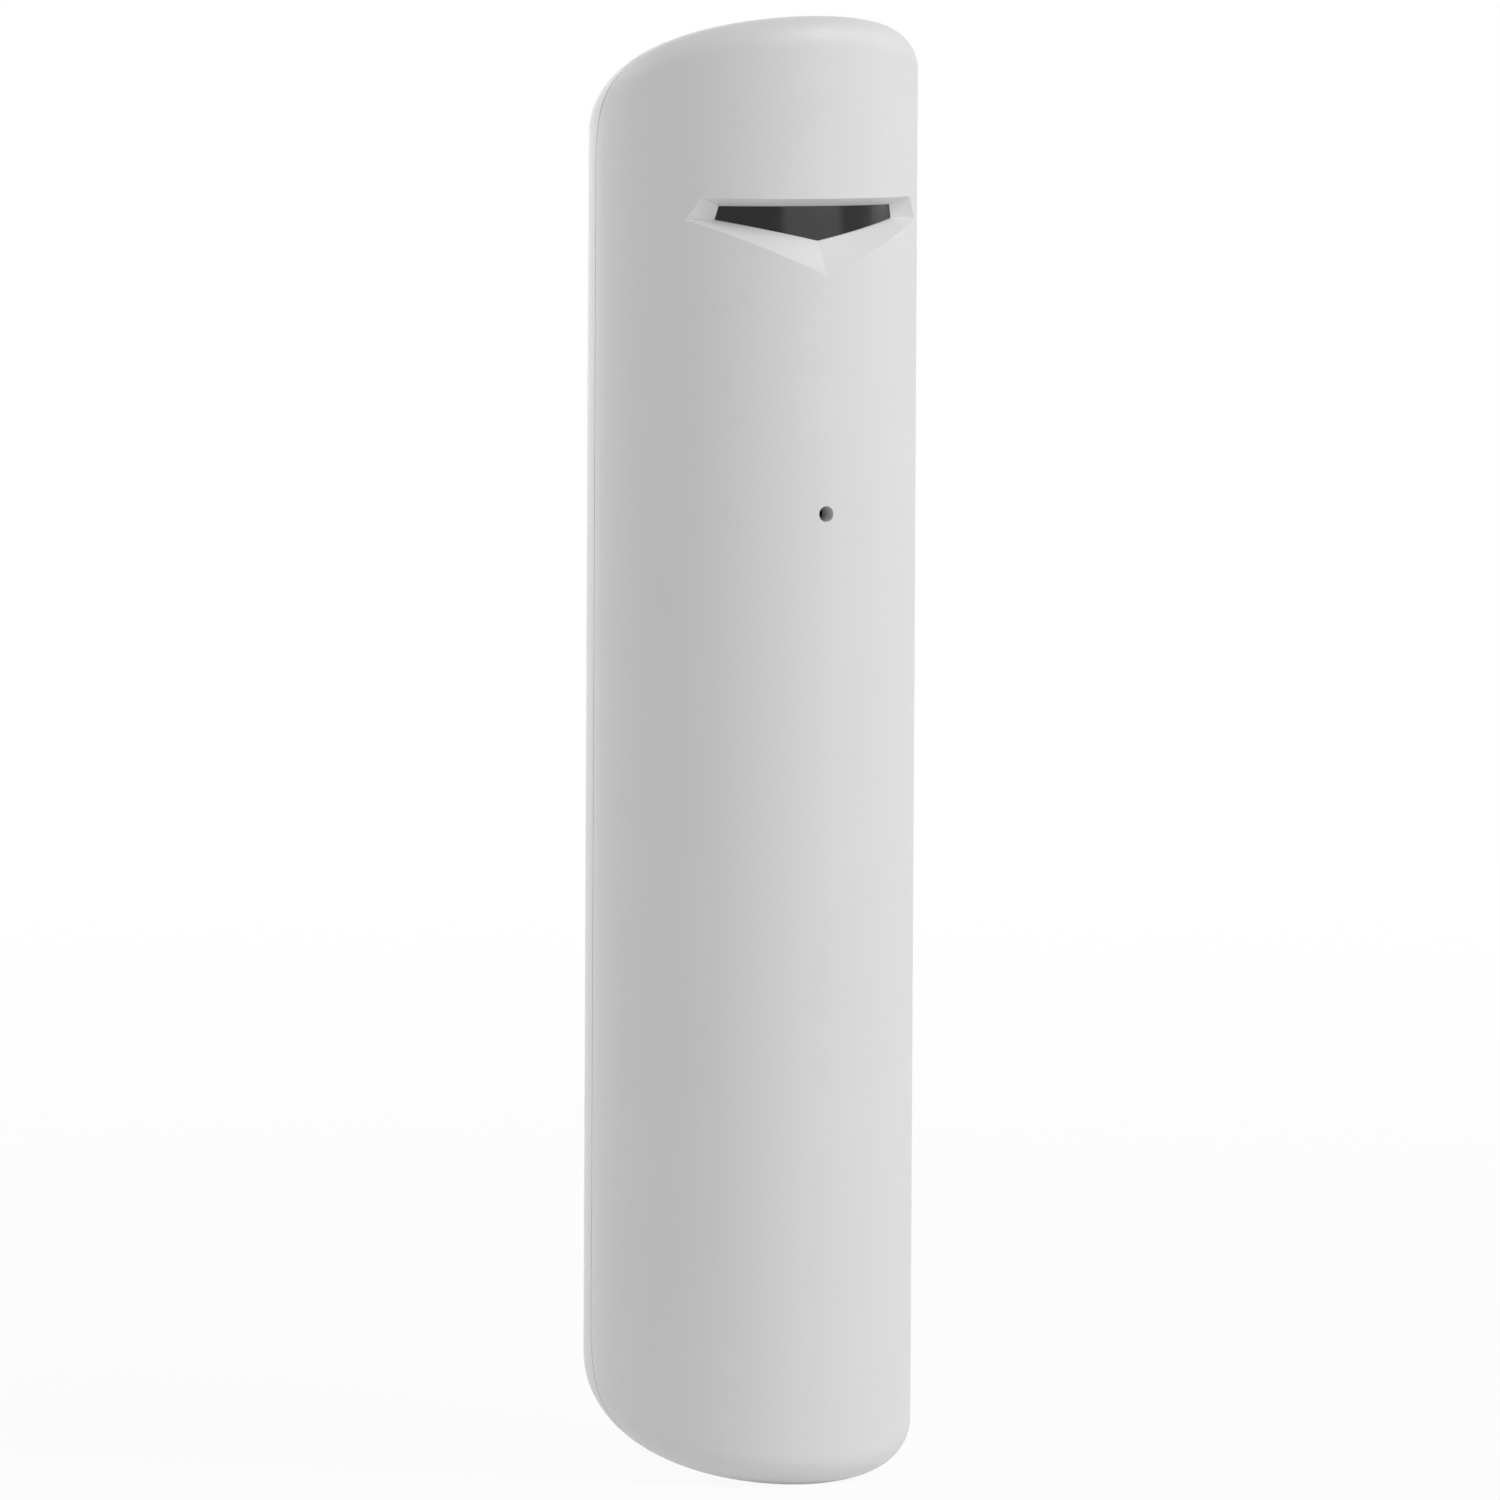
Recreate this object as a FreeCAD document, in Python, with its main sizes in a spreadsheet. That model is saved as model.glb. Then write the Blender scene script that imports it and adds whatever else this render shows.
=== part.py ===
"""Glass break sensor: a slim half-round sensor that hooks onto a plate on the wall.

The wall is the plane y = 0 and the front faces -Y. +Z runs up the length, and the origin is the
middle of the mounting panel's wall face. Depths are measured forward from the wall, in millimetres.
"""
import FreeCAD, Part
import math
import os
import re

import Sketcher

V = FreeCAD.Vector
NEAR = 0.01
SIDES = (("low", "-"), ("high", ""))

SIZES = {
    # outer form
    "housing_radius": 10.0,
    "housing_length": 90.0,
    "back_half_width": 6.0,
    "end_centre_ahead": 10.7,
    "end_edge_radius": 1.8,
    "wall": 1.5,
    # parting line between the front and rear housings
    "parting_behind_axis": 1.5,
    "parting_gap": 0.08,
    "parting_corner_inset": 6.9,
    "parting_corner_radius": 6.0,
    "lip_width": 0.8,
    "lip_height": 1.3,
    "lip_inset": 12.0,
    "bead_reach": 0.2,
    "bead_height": 0.6,
    "bead_length": 8.0,
    "bead_inset": 18.0,
    "fit_gap": 0.1,
    # mounting panel and the rear housing's floor
    "panel_depth": 2.6,
    "panel_floor": 1.4,
    "panel_rim": 1.2,
    "slide_gap": 0.2,
    "rear_floor": 1.2,
    # indicator recess and window
    "window_below_end": 12.0,
    "window_top_half": 5.76,
    "window_side_half": 5.95,
    "window_side_height": 0.8,
    "window_drop": 2.05,
    "recess_depth": 1.35,
    "recess_top_margin": 0.5,
    "recess_top_half": 7.0,
    "recess_side_half": 7.6,
    "recess_side_height": 1.3,
    "recess_drop": 4.65,
    "recess_overrun": 0.5,
    "window_thickness": 1.0,
    "window_flange": 0.6,
    "window_flange_width": 0.3,
    "window_frame_width": 0.9,
    # sound hole and microphone
    "sound_hole_below_end": 30.5,
    "sound_hole_radius": 0.48,
    "mic_seat_thickness": 1.6,
    "mic_radius": 2.0,
    "mic_height": 1.7,
    "boot_radius": 3.1,
    "boot_port_radius": 0.8,
    "mesh_thickness": 0.12,
    # circuit board
    "board_behind_front": 5.8,
    "board_thickness": 1.0,
    "board_side_gap": 0.42,
    "board_end_inset": 6.5,
    "board_neck_half_width": 4.4,
    "board_neck_length": 9.0,
    "board_screw_inset": 9.4,
    "board_screw_radius": 1.0,
    "board_screw_length": 5.0,
    "board_screw_head_radius": 1.9,
    "board_screw_head_height": 1.2,
    "board_post_radius": 2.1,
    # hooks
    "upper_hook_inset": 19.0,
    "lower_hook_inset": 23.0,
    "hook_width": 5.0,
    "hook_stem": 1.4,
    "hook_lip": 2.0,
    "hook_lip_thickness": 1.2,
    "hook_gap": 0.15,
    "lift_travel": 6.0,
    # screw holes, cable hole and tamper tab in the panel
    "wall_screw_inset": 4.464,
    "wall_screw_radius": 1.7,
    "wall_screw_countersink": 0.8,
    "cable_hole_width": 7.0,
    "cable_hole_height": 9.0,
    "cable_hole_offset": 7.0,
    "tab_half_width": 4.0,
    "tab_below_tamper": 4.0,
    "tab_below_hook": 5.4,
    "tab_slot": 0.6,
    "tab_bridge": 1.2,
    "tab_screw_inset": 3.4,
    "tab_screw_radius": 1.6,
    # tamper
    "tamper_height": 8.0,
    "ramp_rise": 1.0,
    "ramp_top_depth": 2.5,
    "ramp_width": 3.2,
    "plunger_radius": 1.1,
    "plunger_clearance": 0.1,
    "plunger_tip_gap": 0.1,
    "plunger_flange_radius": 1.75,
    "plunger_flange_thickness": 0.55,
    "sleeve_radius": 2.0,
    "sleeve_length": 1.2,
    "switch_height": 2.0,
    "switch_width": 4.6,
    "switch_length": 3.6,
    "switch_stem_radius": 0.8,
    "switch_stem_length": 0.35,
    "spring_wire": 0.25,
    "spring_radius": 1.45,
    "spring_turns": 4.5,
    # terminal block
    "terminal_pitch": 2.54,
    "terminal_inset": 32.5,
    "terminal_length": 6.5,
    "terminal_height": 7.7,
    "terminal_side": 0.3,
    "terminal_opening_gap": 0.5,
    "wire_entry_width": 1.9,
    "wire_entry_height": 2.2,
    "wire_entry_behind_board": 3.4,
    "wire_entry_length": 5.4,
    "clamp_wall": 0.25,
    "clamp_length": 3.0,
    "terminal_screw_radius": 1.05,
    "terminal_screw_sink": 0.5,
    "terminal_screw_slot": 0.4,
    "pin_width": 0.7,
    "pin_row_offset": 3.8,
    "pin_tip_length": 0.5,
    # parts on the board
    "led_width": 1.6,
    "led_length": 0.8,
    "led_height": 0.7,
    "guide_width": 4.6,
    "guide_length": 1.5,
    "seat_gap": 0.05,
    "chip_unit": 0.5,
    "chip_draft": 7.0,
    "inductor_width": 4.0,
    "inductor_height": 1.8,
    "capacitor_radius": 1.8,
    "capacitor_height": 2.6,
    "power_part_pitch": 4.7,
}

# Depths, heights and widths that follow from the sizes above
FORMULAS = {
    "axis_depth": "sqrt(housing_radius^2 - back_half_width^2)",
    "front_depth": "axis_depth + housing_radius",
    "inner_radius": "housing_radius - wall",
    "half_length": "housing_length / 2",
    "end_radius": "sqrt(end_centre_ahead^2 + half_length^2)",
    "parting_depth": "axis_depth - parting_behind_axis",
    "rear_back": "panel_depth + slide_gap",
    "rear_inside": "rear_back + rear_floor",
    "window_top": "half_length - window_below_end",
    "sound_hole": "half_length - sound_hole_below_end",
    "mic_seat_depth": "front_depth - mic_seat_thickness",
    "board_depth": "front_depth - board_behind_front",
    "board_front": "board_depth + board_thickness",
    "board_half_width": "sqrt(inner_radius^2 - (board_front - axis_depth)^2) - board_side_gap",
    "board_end": "half_length - board_end_inset",
    "board_shoulder": "board_end - board_neck_length",
    "board_screw_height": "half_length - board_screw_inset",
    "upper_hook_height": "half_length - upper_hook_inset",
    "lower_hook_height": "lower_hook_inset - half_length",
    "panel_end": "sqrt((end_radius - wall)^2 - (front_depth - panel_floor + end_centre_ahead)^2)",
    "wall_screw_height": "panel_end - wall_screw_inset",
    "tab_top": "upper_hook_height - tab_below_hook",
    "tab_bottom": "tamper_height - tab_below_tamper",
    "tab_screw_height": "tab_top - tab_screw_inset",
    "wire_entry_depth": "board_depth - wire_entry_behind_board",
    "terminal_top": "terminal_inset - half_length",
    "terminal_foot": "terminal_top - terminal_length",
    "terminal_depth": "board_depth - terminal_height",
    "cable_hole_centre": "terminal_top + cable_hole_offset",
    "pin_row": "terminal_top - pin_row_offset",
    "pin_hole_radius": "0.75 * pin_width",
    "beyond": "2.4 * housing_radius",
}

doc = FreeCAD.newDocument("glass_break_sensor")
sheet = doc.addObject("Spreadsheet::Sheet", "sizes")
for row, (name, value) in enumerate((SIZES | FORMULAS).items(), start=1):
    sheet.set(f"A{row}", name)
    sheet.set(f"B{row}", f"={value}")
    sheet.setAlias(f"B{row}", name)
workings = doc.addObject("Spreadsheet::Sheet", "workings")
doc.recompute()

def size(name):
    """The value of one size in the sheet."""
    return float(sheet.get(name))


def bound(text):
    """Point each size's name in an expression at its cell in the sheet."""
    known = SIZES | FORMULAS
    return re.sub(r"[a-z][a-z_]+", lambda word: f"sizes.{word[0]}" if word[0] in known else word[0], text)


def bind(thing, prop, text):
    """Tie one property of an object to an expression of sizes."""
    thing.setExpression(prop, bound(text))


# Bodies, sketches and features
def body(label, base=None):
    """A new body, started from another object's shape where it has one."""
    made = doc.addObject("PartDesign::Body", label)
    if base:
        made.BaseFeature = base
    doc.recompute()
    return made


def sketch(owner, plane, offset="0"):
    """A sketch on one of a body's own origin planes, moved along its normal by offset."""
    made = owner.newObject("Sketcher::SketchObject", f"{owner.Name}_sketch")
    support = next(item for item in owner.Origin.OriginFeatures if item.Role == plane)
    made.AttachmentSupport = [(support, "")]
    made.MapMode = "FlatFace"
    bind(made, "AttachmentOffset.Base.z", offset)
    return made


def hold(drawing, kind, where, start, text):
    """Add one dimension to a sketch and tie it to an expression of sizes."""
    index = drawing.addConstraint(Sketcher.Constraint(kind, *where, start))
    bind(drawing, f"Constraints[{index}]", text)


def number(text):
    """Work an expression of sizes out once, as a starting place for a sketch's point."""
    workings.set("A1", "=" + bound(text))
    workings.recompute()
    return float(workings.get("A1"))


def polygon(drawing, points):
    """A closed outline whose corners are pairs of expressions."""
    first = drawing.GeometryCount
    count = len(points)
    places = [V(number(across), number(up), 0) for across, up in points]
    for index in range(count):
        drawing.addGeometry(Part.LineSegment(places[index], places[(index + 1) % count]))
    for index, (across, up) in enumerate(points):
        after = (index + 1) % count
        drawing.addConstraint(Sketcher.Constraint("Coincident", first + index, 2, first + after, 1))
        hold(drawing, "DistanceX", (-1, 1, first + index, 1), places[index].x, across)
        hold(drawing, "DistanceY", (-1, 1, first + index, 1), places[index].y, up)


def rectangle(drawing, left, right, low, high):
    """A rectangle between four expressions."""
    polygon(drawing, [(left, low), (right, low), (right, high), (left, high)])


def disc(drawing, across, up, radius):
    """A circle whose centre and radius are expressions."""
    place = V(number(across), number(up), 0)
    index = drawing.addGeometry(Part.Circle(place, V(0, 0, 1), number(radius)))
    hold(drawing, "Radius", (index,), number(radius), radius)
    hold(drawing, "DistanceX", (-1, 1, index, 3), place.x, across)
    hold(drawing, "DistanceY", (-1, 1, index, 3), place.y, up)


def feature(owner, kind, drawing, length, symmetric=False, backwards=False):
    """A Pad or a Pocket of a sketch; a Pocket has to take material away."""
    before = owner.Shape.Volume if owner.Tip else 0
    made = owner.newObject(f"PartDesign::{kind}", f"{owner.Name}_{kind.lower()}")
    made.Profile = drawing
    bind(made, "Length", length)
    made.SideType = "Symmetric" if symmetric else "One side"
    made.Reversed = backwards
    doc.recompute()
    changed = made.Shape.Volume - before
    if (changed >= 0) if kind == "Pocket" else (changed <= 0):
        raise ValueError(f"{made.Name} changes nothing")
    return made


def edges_where(shape, test):
    """Names of the edges of a shape that pass a test."""
    return [f"Edge{index}" for index, edge in enumerate(shape.Edges, start=1) if test(edge)]


def dress(owner, kind, names, prop, text):
    """A Fillet or a Chamfer on the named edges of a body's last feature."""
    last = owner.Tip
    made = owner.newObject(f"PartDesign::{kind}", f"{owner.Name}_{kind.lower()}")
    made.Base = (last, names)
    bind(made, prop, text)
    doc.recompute()
    return made


# Primitives and booleans
def block(label, left, back, low, width, depth, height):
    """A box from its left side, its back's depth and its foot; depth runs forward."""
    made = doc.addObject("Part::Box", label)
    bind(made, "Length", width)
    bind(made, "Width", depth)
    bind(made, "Height", height)
    bind(made, "Placement.Base.x", left)
    bind(made, "Placement.Base.y", f"-({back}) - ({depth})")
    bind(made, "Placement.Base.z", low)
    return made


def rod(label, across, back, up, radius, length):
    """A cylinder that runs forward from the depth of its back face."""
    made = doc.addObject("Part::Cylinder", label)
    made.Placement = FreeCAD.Placement(V(0, 0, 0), FreeCAD.Rotation(V(1, 0, 0), 90))
    bind(made, "Radius", radius)
    bind(made, "Height", length)
    bind(made, "Placement.Base.x", across)
    bind(made, "Placement.Base.y", f"-({back})")
    bind(made, "Placement.Base.z", up)
    return made


def cut(label, base, tool):
    """One object less another."""
    made = doc.addObject("Part::Cut", label)
    made.Base = base
    made.Tool = tool
    return made


def common(label, base, tool):
    """What two objects share."""
    made = doc.addObject("Part::Common", label)
    made.Base = base
    made.Tool = tool
    return made


def fuse(label, pieces):
    """Several touching objects as one."""
    made = doc.addObject("Part::MultiFuse", label)
    made.Shapes = pieces
    return made


def group(label, pieces):
    """Separate solids that share one node."""
    made = doc.addObject("Part::Compound", label)
    made.Links = pieces
    return made


# Outer form: a cylinder with a flat back, its ends cut by one arc in the side view
def outer_form():
    """The whole outline of the sensor on its panel, with rounded end edges."""
    form = body("outer_form")
    section(form, "housing_radius", "0")
    trim_ends(form, "end_radius")
    names = edges_where(form.Shape, lambda edge: edge.BoundBox.YLength > size("wall"))
    dress(form, "Fillet", names, "Radius", "end_edge_radius")
    return form


def section(form, radius, back):
    """Pad the round section, flat at the depth of its back, along the whole length."""
    drawing = sketch(form, "XY_Plane")
    rise = number(f"axis_depth - ({back})")
    big = number(radius)
    half = math.sqrt(big * big - rise * rise)
    angle = math.atan2(rise, half)
    circle = Part.Circle(V(0, -number("axis_depth"), 0), V(0, 0, 1), big)
    arc = drawing.addGeometry(Part.ArcOfCircle(circle, math.pi - angle, 2 * math.pi + angle))
    chord = drawing.addGeometry(Part.LineSegment(V(half, -number(back), 0), V(-half, -number(back), 0)))
    drawing.addConstraint(Sketcher.Constraint("Coincident", arc, 2, chord, 1))
    drawing.addConstraint(Sketcher.Constraint("Coincident", chord, 2, arc, 1))
    hold(drawing, "Radius", (arc,), big, radius)
    hold(drawing, "DistanceX", (-1, 1, arc, 3), 0.0, "0")
    hold(drawing, "DistanceY", (-1, 1, arc, 3), -number("axis_depth"), "-axis_depth")
    hold(drawing, "DistanceY", (-1, 1, chord, 1), -number(back), f"-({back})")
    hold(drawing, "DistanceY", (-1, 1, chord, 2), -number(back), f"-({back})")
    feature(form, "Pad", drawing, "1.1 * housing_length", symmetric=True)


def trim_ends(form, radius):
    """Cut both ends to one circle, centred ahead of the front on the middle plane."""
    drawing = sketch(form, "YZ_Plane")
    rectangle(drawing, "-housing_length", "housing_length", "-housing_length", "housing_length")
    disc(drawing, "-(front_depth + end_centre_ahead)", "0", radius)
    feature(form, "Pocket", drawing, "beyond", symmetric=True)


def inner_form(label, radius, back):
    """A cavity inside the outer form, one wall in from its ends."""
    form = body(label)
    section(form, radius, back)
    trim_ends(form, f"end_radius - wall")
    return form


def front_zone(label, gap):
    """All that lies ahead of the parting line, which curls forward round both ends."""
    zone = body(label)
    drawing = sketch(zone, "YZ_Plane")
    line = f"-(parting_depth - {gap})"
    corner = "(half_length - parting_corner_inset)"
    ahead = "-(front_depth + housing_radius)"
    far = f"({corner} + front_depth + housing_radius - parting_depth)"
    polygon(drawing, [(line, f"-{corner}"), (line, corner), (ahead, far), (ahead, f"-{far}")])
    feature(zone, "Pad", drawing, "beyond", symmetric=True)
    back = size("front_depth")
    names = edges_where(zone.Shape, lambda edge: edge.BoundBox.XLength > 1 and edge.CenterOfMass.y > -back)
    dress(zone, "Fillet", names, "Radius", "parting_corner_radius")
    return zone


# Indicator recess: outlines in the front view, wrapped on the round front at several levels.
# A level is the outer cylinder moved straight back by that depth.
def shield(top, top_half, side_height, side_half, drop):
    """Five corners of the recess's outline as (across, up), from the top left."""
    low = top - side_height
    return [(-top_half, top), (top_half, top), (side_half, low), (0, top - drop), (-side_half, low)]


def window_outline(reach=0.0):
    """The window's outline, grown outwards by reach."""
    top = size("window_top")
    side = size("window_side_height")
    return shield(top + reach, size("window_top_half") + reach, side + 1.4 * reach,
                  size("window_side_half") + reach, size("window_drop") + 2 * reach)


def recess_outline(reach=0.0):
    """The recess's outline on the front, grown outwards by reach."""
    top = size("window_top") + size("recess_top_margin")
    return shield(top + reach, size("recess_top_half") + reach, size("recess_side_height") + 1.4 * reach,
                  size("recess_side_half") + reach, size("recess_drop") + 2 * reach)


def level_cylinder(depth):
    """The front's cylinder moved back by depth."""
    radius = size("housing_radius")
    foot = V(0, radius - size("front_depth") + depth, -size("housing_length"))
    return Part.makeCylinder(radius, 2 * size("housing_length"), foot)


def prism(outline):
    """An outline drawn in the front view, run from ahead of the front to the axis."""
    ahead = -size("front_depth") - size("housing_radius")
    corners = [V(across, ahead, up) for across, up in outline]
    face = Part.Face(Part.makePolygon(corners + corners[:1]))
    return face.extrude(V(0, 2 * size("housing_radius"), 0))


def plate(outline, front, back):
    """The part of a prism between two levels."""
    return prism(outline).common(level_cylinder(front)).cut(level_cylinder(back))


def level_face(outline, depth):
    """The outline wrapped on one level, as a face."""
    solid = prism(outline).common(level_cylinder(depth))
    return next(face for face in solid.Faces if isinstance(face.Surface, Part.Cylinder))


def side_of(face, start, end):
    """The edge of a wrapped face that runs between two corners of its outline."""
    def reaches(edge, corner):
        return any(math.hypot(p.Point.x - corner[0], p.Point.z - corner[1]) < NEAR for p in edge.Vertexes)
    return next(edge for edge in face.Edges if reaches(edge, start) and reaches(edge, end))


def recess_tool():
    """A solid with ruled sides between the outline on the front and the window's outline."""
    depth = size("recess_depth")
    over = size("recess_overrun")
    inner = window_outline()
    share = over / depth
    outer = [(a + (a - c) * share, b + (b - d) * share) for (a, b), (c, d) in zip(recess_outline(), inner)]
    lid = level_face(outer, -over)
    floor = level_face(inner, depth)
    sides = []
    for index in range(len(inner)):
        after = (index + 1) % len(inner)
        upper = side_of(lid, outer[index], outer[after])
        lower = side_of(floor, inner[index], inner[after])
        sides.append(Part.makeRuledSurface(upper, lower))
    shell = Part.makeShell([lid, floor] + sides)
    shell.sewShape()
    return solid_of(shell)


def solid_of(shell):
    """A closed shell as a solid that points outwards."""
    solid = Part.makeSolid(shell)
    if solid.Volume < 0:
        solid.reverse()
    return solid


def shaped(label, shape):
    """An object whose shape is made by the functions above."""
    made = doc.addObject("Part::Feature", label)
    made.Shape = shape
    return made


# Snap fit between the two shells
def snap_bands(label, gap):
    """Bands across both ends of the lip: their rims are its snap beads, or grown by gap, the grooves."""
    slabs = []
    for name, side in SIDES:
        length = f"bead_length + 2 * {gap}"
        low = f"{side}(half_length - bead_inset) - ({length}) / 2"
        back = f"parting_depth + (lip_height - bead_height) / 2 - {gap}"
        slabs.append(block(f"{label}_slab_{name}", "-housing_radius", back, low, "2 * housing_radius",
                           f"bead_height + 2 * {gap}", length))
    reach = inner_form(f"{label}_outline", f"inner_radius + bead_reach + {gap}", "0")
    return common(f"{label}_bands", reach, fuse(f"{label}_slabs", slabs))


# Front housing
def front_housing(outline, ahead):
    """The front shell: round, curved at both ends, with the recess and the sound hole."""
    stock = common("front_block", outline, ahead)
    plain = cut("front_skin", stock, inner_form("front_cavity", "inner_radius", "0"))
    skin = cut("grooved_skin", plain, snap_bands("groove", "fit_gap"))
    frame_back = size("recess_depth") + size("window_thickness")
    around = recess_outline(size("window_frame_width"))
    frame = shaped("window_frame", plate(around, size("wall") / 2, frame_back))
    framed = fuse("framed_skin", [skin, frame])
    sunk = cut("sunk_skin", framed, shaped("recess", recess_tool()))
    fit = size("seat_gap") / 2
    hole = shaped("window_hole", plate(window_outline(fit), 0, 2 * frame_back))
    shell = body("front_housing", cut("windowed_skin", sunk, hole))
    drawing = sketch(shell, "XZ_Plane", "mic_seat_depth")
    disc(drawing, "0", "sound_hole", "boot_radius + fit_gap")
    feature(shell, "Pocket", drawing, "front_depth", backwards=False)
    drawing = sketch(shell, "XZ_Plane", "axis_depth")
    disc(drawing, "0", "sound_hole", "sound_hole_radius")
    feature(shell, "Pocket", drawing, "beyond", backwards=True)
    return shell


# Rear housing
def rear_housing(outline, ahead):
    """The back shell: a floor, a rim that curls round the ends, a lip, posts and openings."""
    behind = block("rear_slab", "-housing_radius", "rear_back", "-housing_length", "2 * housing_radius",
                   "front_depth", "2 * housing_length")
    tray = cut("rear_block", common("rear_outline", outline, behind), ahead)
    lip = common("lip_band", inner_form("lip_outline", f"inner_radius - fit_gap", "0"),
                 block("lip_slab", "-housing_radius", "parting_depth - wall", "lip_inset - half_length",
                       "2 * housing_radius", "wall + lip_height", "housing_length - 2 * lip_inset"))
    hollow = inner_form("rear_cavity", f"inner_radius - lip_width", "rear_inside")
    lipped = fuse("lipped_block", [tray, lip, snap_bands("bead", "0")])
    pieces = [cut("rear_tray", lipped, hollow)]
    reach = f"board_depth - rear_inside + rear_floor / 2"
    start = f"rear_inside - rear_floor / 2"
    for name, side in SIDES:
        up = f"{side}board_screw_height"
        pieces.append(rod(f"post_{name}", "0", start, up, "board_post_radius", reach))
    pieces.append(rod("sleeve", "0", start, "tamper_height", "sleeve_radius",
                      "sleeve_length + rear_floor / 2"))
    tray = body("rear_housing", fuse("rear_posts", pieces))
    drawing = sketch(tray, "XZ_Plane", "board_depth")
    for _, side in SIDES:
        disc(drawing, "0", f"{side}board_screw_height", "board_screw_radius")
    feature(tray, "Pocket", drawing, "board_screw_length")
    drawing = sketch(tray, "XZ_Plane", "board_depth")
    disc(drawing, "0", "tamper_height", "plunger_radius + plunger_clearance")
    feature(tray, "Pocket", drawing, "board_depth")
    drawing = sketch(tray, "XZ_Plane", "board_depth")
    for top in ("upper_hook_height", "lower_hook_height"):
        half = "(hook_width / 2 + hook_gap)"
        rectangle(drawing, f"-{half}", half, f"{top} - lift_travel - hook_stem - 2 * hook_gap",
                  f"{top} + fit_gap")
    half = "(2 * terminal_pitch + terminal_side + terminal_opening_gap)"
    rectangle(drawing, f"-{half}", half, "terminal_foot - terminal_opening_gap",
              "cable_hole_centre + cable_hole_height / 2")
    feature(tray, "Pocket", drawing, "board_depth")
    return tray


# Mounting panel
def mounting_panel(outline):
    """The plate on the wall: a shallow tray with hooks, screw holes and the tamper's tab."""
    slab = block("panel_slab", "-housing_radius", "0", "-housing_length", "2 * housing_radius",
                 "panel_depth", "2 * housing_length")
    hollow = inner_form("panel_hollow", "housing_radius - panel_rim", "panel_floor")
    panel = body("mounting_panel", cut("panel_tray", common("panel_block", outline, slab), hollow))
    for top in ("upper_hook_height", "lower_hook_height"):
        hook(panel, top)
    ramp(panel)
    drawing = sketch(panel, "XZ_Plane", "panel_floor")
    for _, side in SIDES:
        disc(drawing, "0", f"{side}wall_screw_height", "wall_screw_radius")
    disc(drawing, "0", "tab_screw_height", "tab_screw_radius")
    feature(panel, "Pocket", drawing, "panel_floor")
    countersinks(panel)
    drawing = sketch(panel, "XZ_Plane", "panel_floor")
    low = "cable_hole_centre - cable_hole_height / 2"
    rectangle(drawing, "-cable_hole_width / 2", "cable_hole_width / 2", low, f"{low} + cable_hole_height")
    for slot in tab_slots():
        rectangle(drawing, *slot)
    feature(panel, "Pocket", drawing, "panel_floor")
    return panel


def hook(panel, top):
    """One hook: a stem forward from the floor, and a lip that points up."""
    drawing = sketch(panel, "YZ_Plane")
    root = "-panel_floor / 2"
    under = f"-(rear_inside + hook_gap)"
    nose = f"-(rear_inside + hook_gap + hook_lip_thickness)"
    polygon(drawing, [(root, f"{top} - hook_stem"), (root, top), (under, top), (under, f"{top} + hook_lip"),
                      (f"{nose} + hook_lip_thickness / 2", f"{top} + hook_lip"),
                      (nose, f"{top} + hook_lip - hook_lip_thickness / 2"), (nose, f"{top} - hook_stem")])
    feature(panel, "Pad", drawing, "hook_width", symmetric=True)


def ramp(panel):
    """The slope under the tamper's plunger: it falls away as the sensor is lifted."""
    drawing = sketch(panel, "YZ_Plane")
    root = "-panel_floor / 2"
    start = "(tamper_height - plunger_radius)"
    rate = "(ramp_rise / lift_travel)"
    end = f"({start} + (ramp_top_depth - panel_floor) / {rate})"
    polygon(drawing, [(root, f"{start} - plunger_radius"), (root, end), ("-panel_floor", end),
                      ("-ramp_top_depth", start), ("-ramp_top_depth", f"{start} - plunger_radius")])
    feature(panel, "Pad", drawing, "ramp_width", symmetric=True)


def countersinks(panel):
    """Countersunk edges on the two wall screws' holes."""
    front = -size("panel_floor")
    height = size("wall_screw_height")

    def is_rim(edge):
        spot = edge.CenterOfMass
        near = abs(spot.y - front) < NEAR and abs(abs(spot.z) - height) < NEAR
        return near and isinstance(edge.Curve, Part.Circle)

    dress(panel, "Chamfer", edges_where(panel.Shape, is_rim), "Size", "wall_screw_countersink")


def tab_slots():
    """Four slots that leave the tab held by a bridge at each corner."""
    left, right = "-tab_half_width", "tab_half_width"
    low, high = "tab_bottom", "tab_top"
    return [(left, f"{left} + tab_slot", f"{low} + tab_bridge", f"{high} - tab_bridge"),
            (f"{right} - tab_slot", right, f"{low} + tab_bridge", f"{high} - tab_bridge"),
            (f"{left} + tab_bridge", f"{right} - tab_bridge", low, f"{low} + tab_slot"),
            (f"{left} + tab_bridge", f"{right} - tab_bridge", f"{high} - tab_slot", high)]


# Window, light guide and LED
def indicator_window():
    """The smoked window, held behind the frame by a flange."""
    front = size("recess_depth")
    back = front + size("window_thickness") + size("seat_gap")
    pane = plate(window_outline(), front, back + size("window_flange") / 2)
    flange = plate(window_outline(size("window_flange_width")), back, back + size("window_flange"))
    return shaped("indicator_window", pane.fuse(flange).removeSplitter())


def light_parts():
    """The LED on the board, and the clear block between it and the window."""
    middle = f"(window_top - window_side_height)"
    block("status_led", "-led_width / 2", "board_front", f"{middle} - led_length / 2",
          "led_width", "led_height", "led_length")
    foot = f"board_front + led_height + seat_gap"
    stock = block("guide_block", "-guide_width / 2", foot, f"{middle} - guide_length / 2",
                  "guide_width", "front_depth / 2", "guide_length")
    behind = size("recess_depth") + size("window_thickness") + size("window_flange") + 2 * size("seat_gap")
    common("light_guide", stock, shaped("window_back", level_cylinder(behind)))


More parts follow.
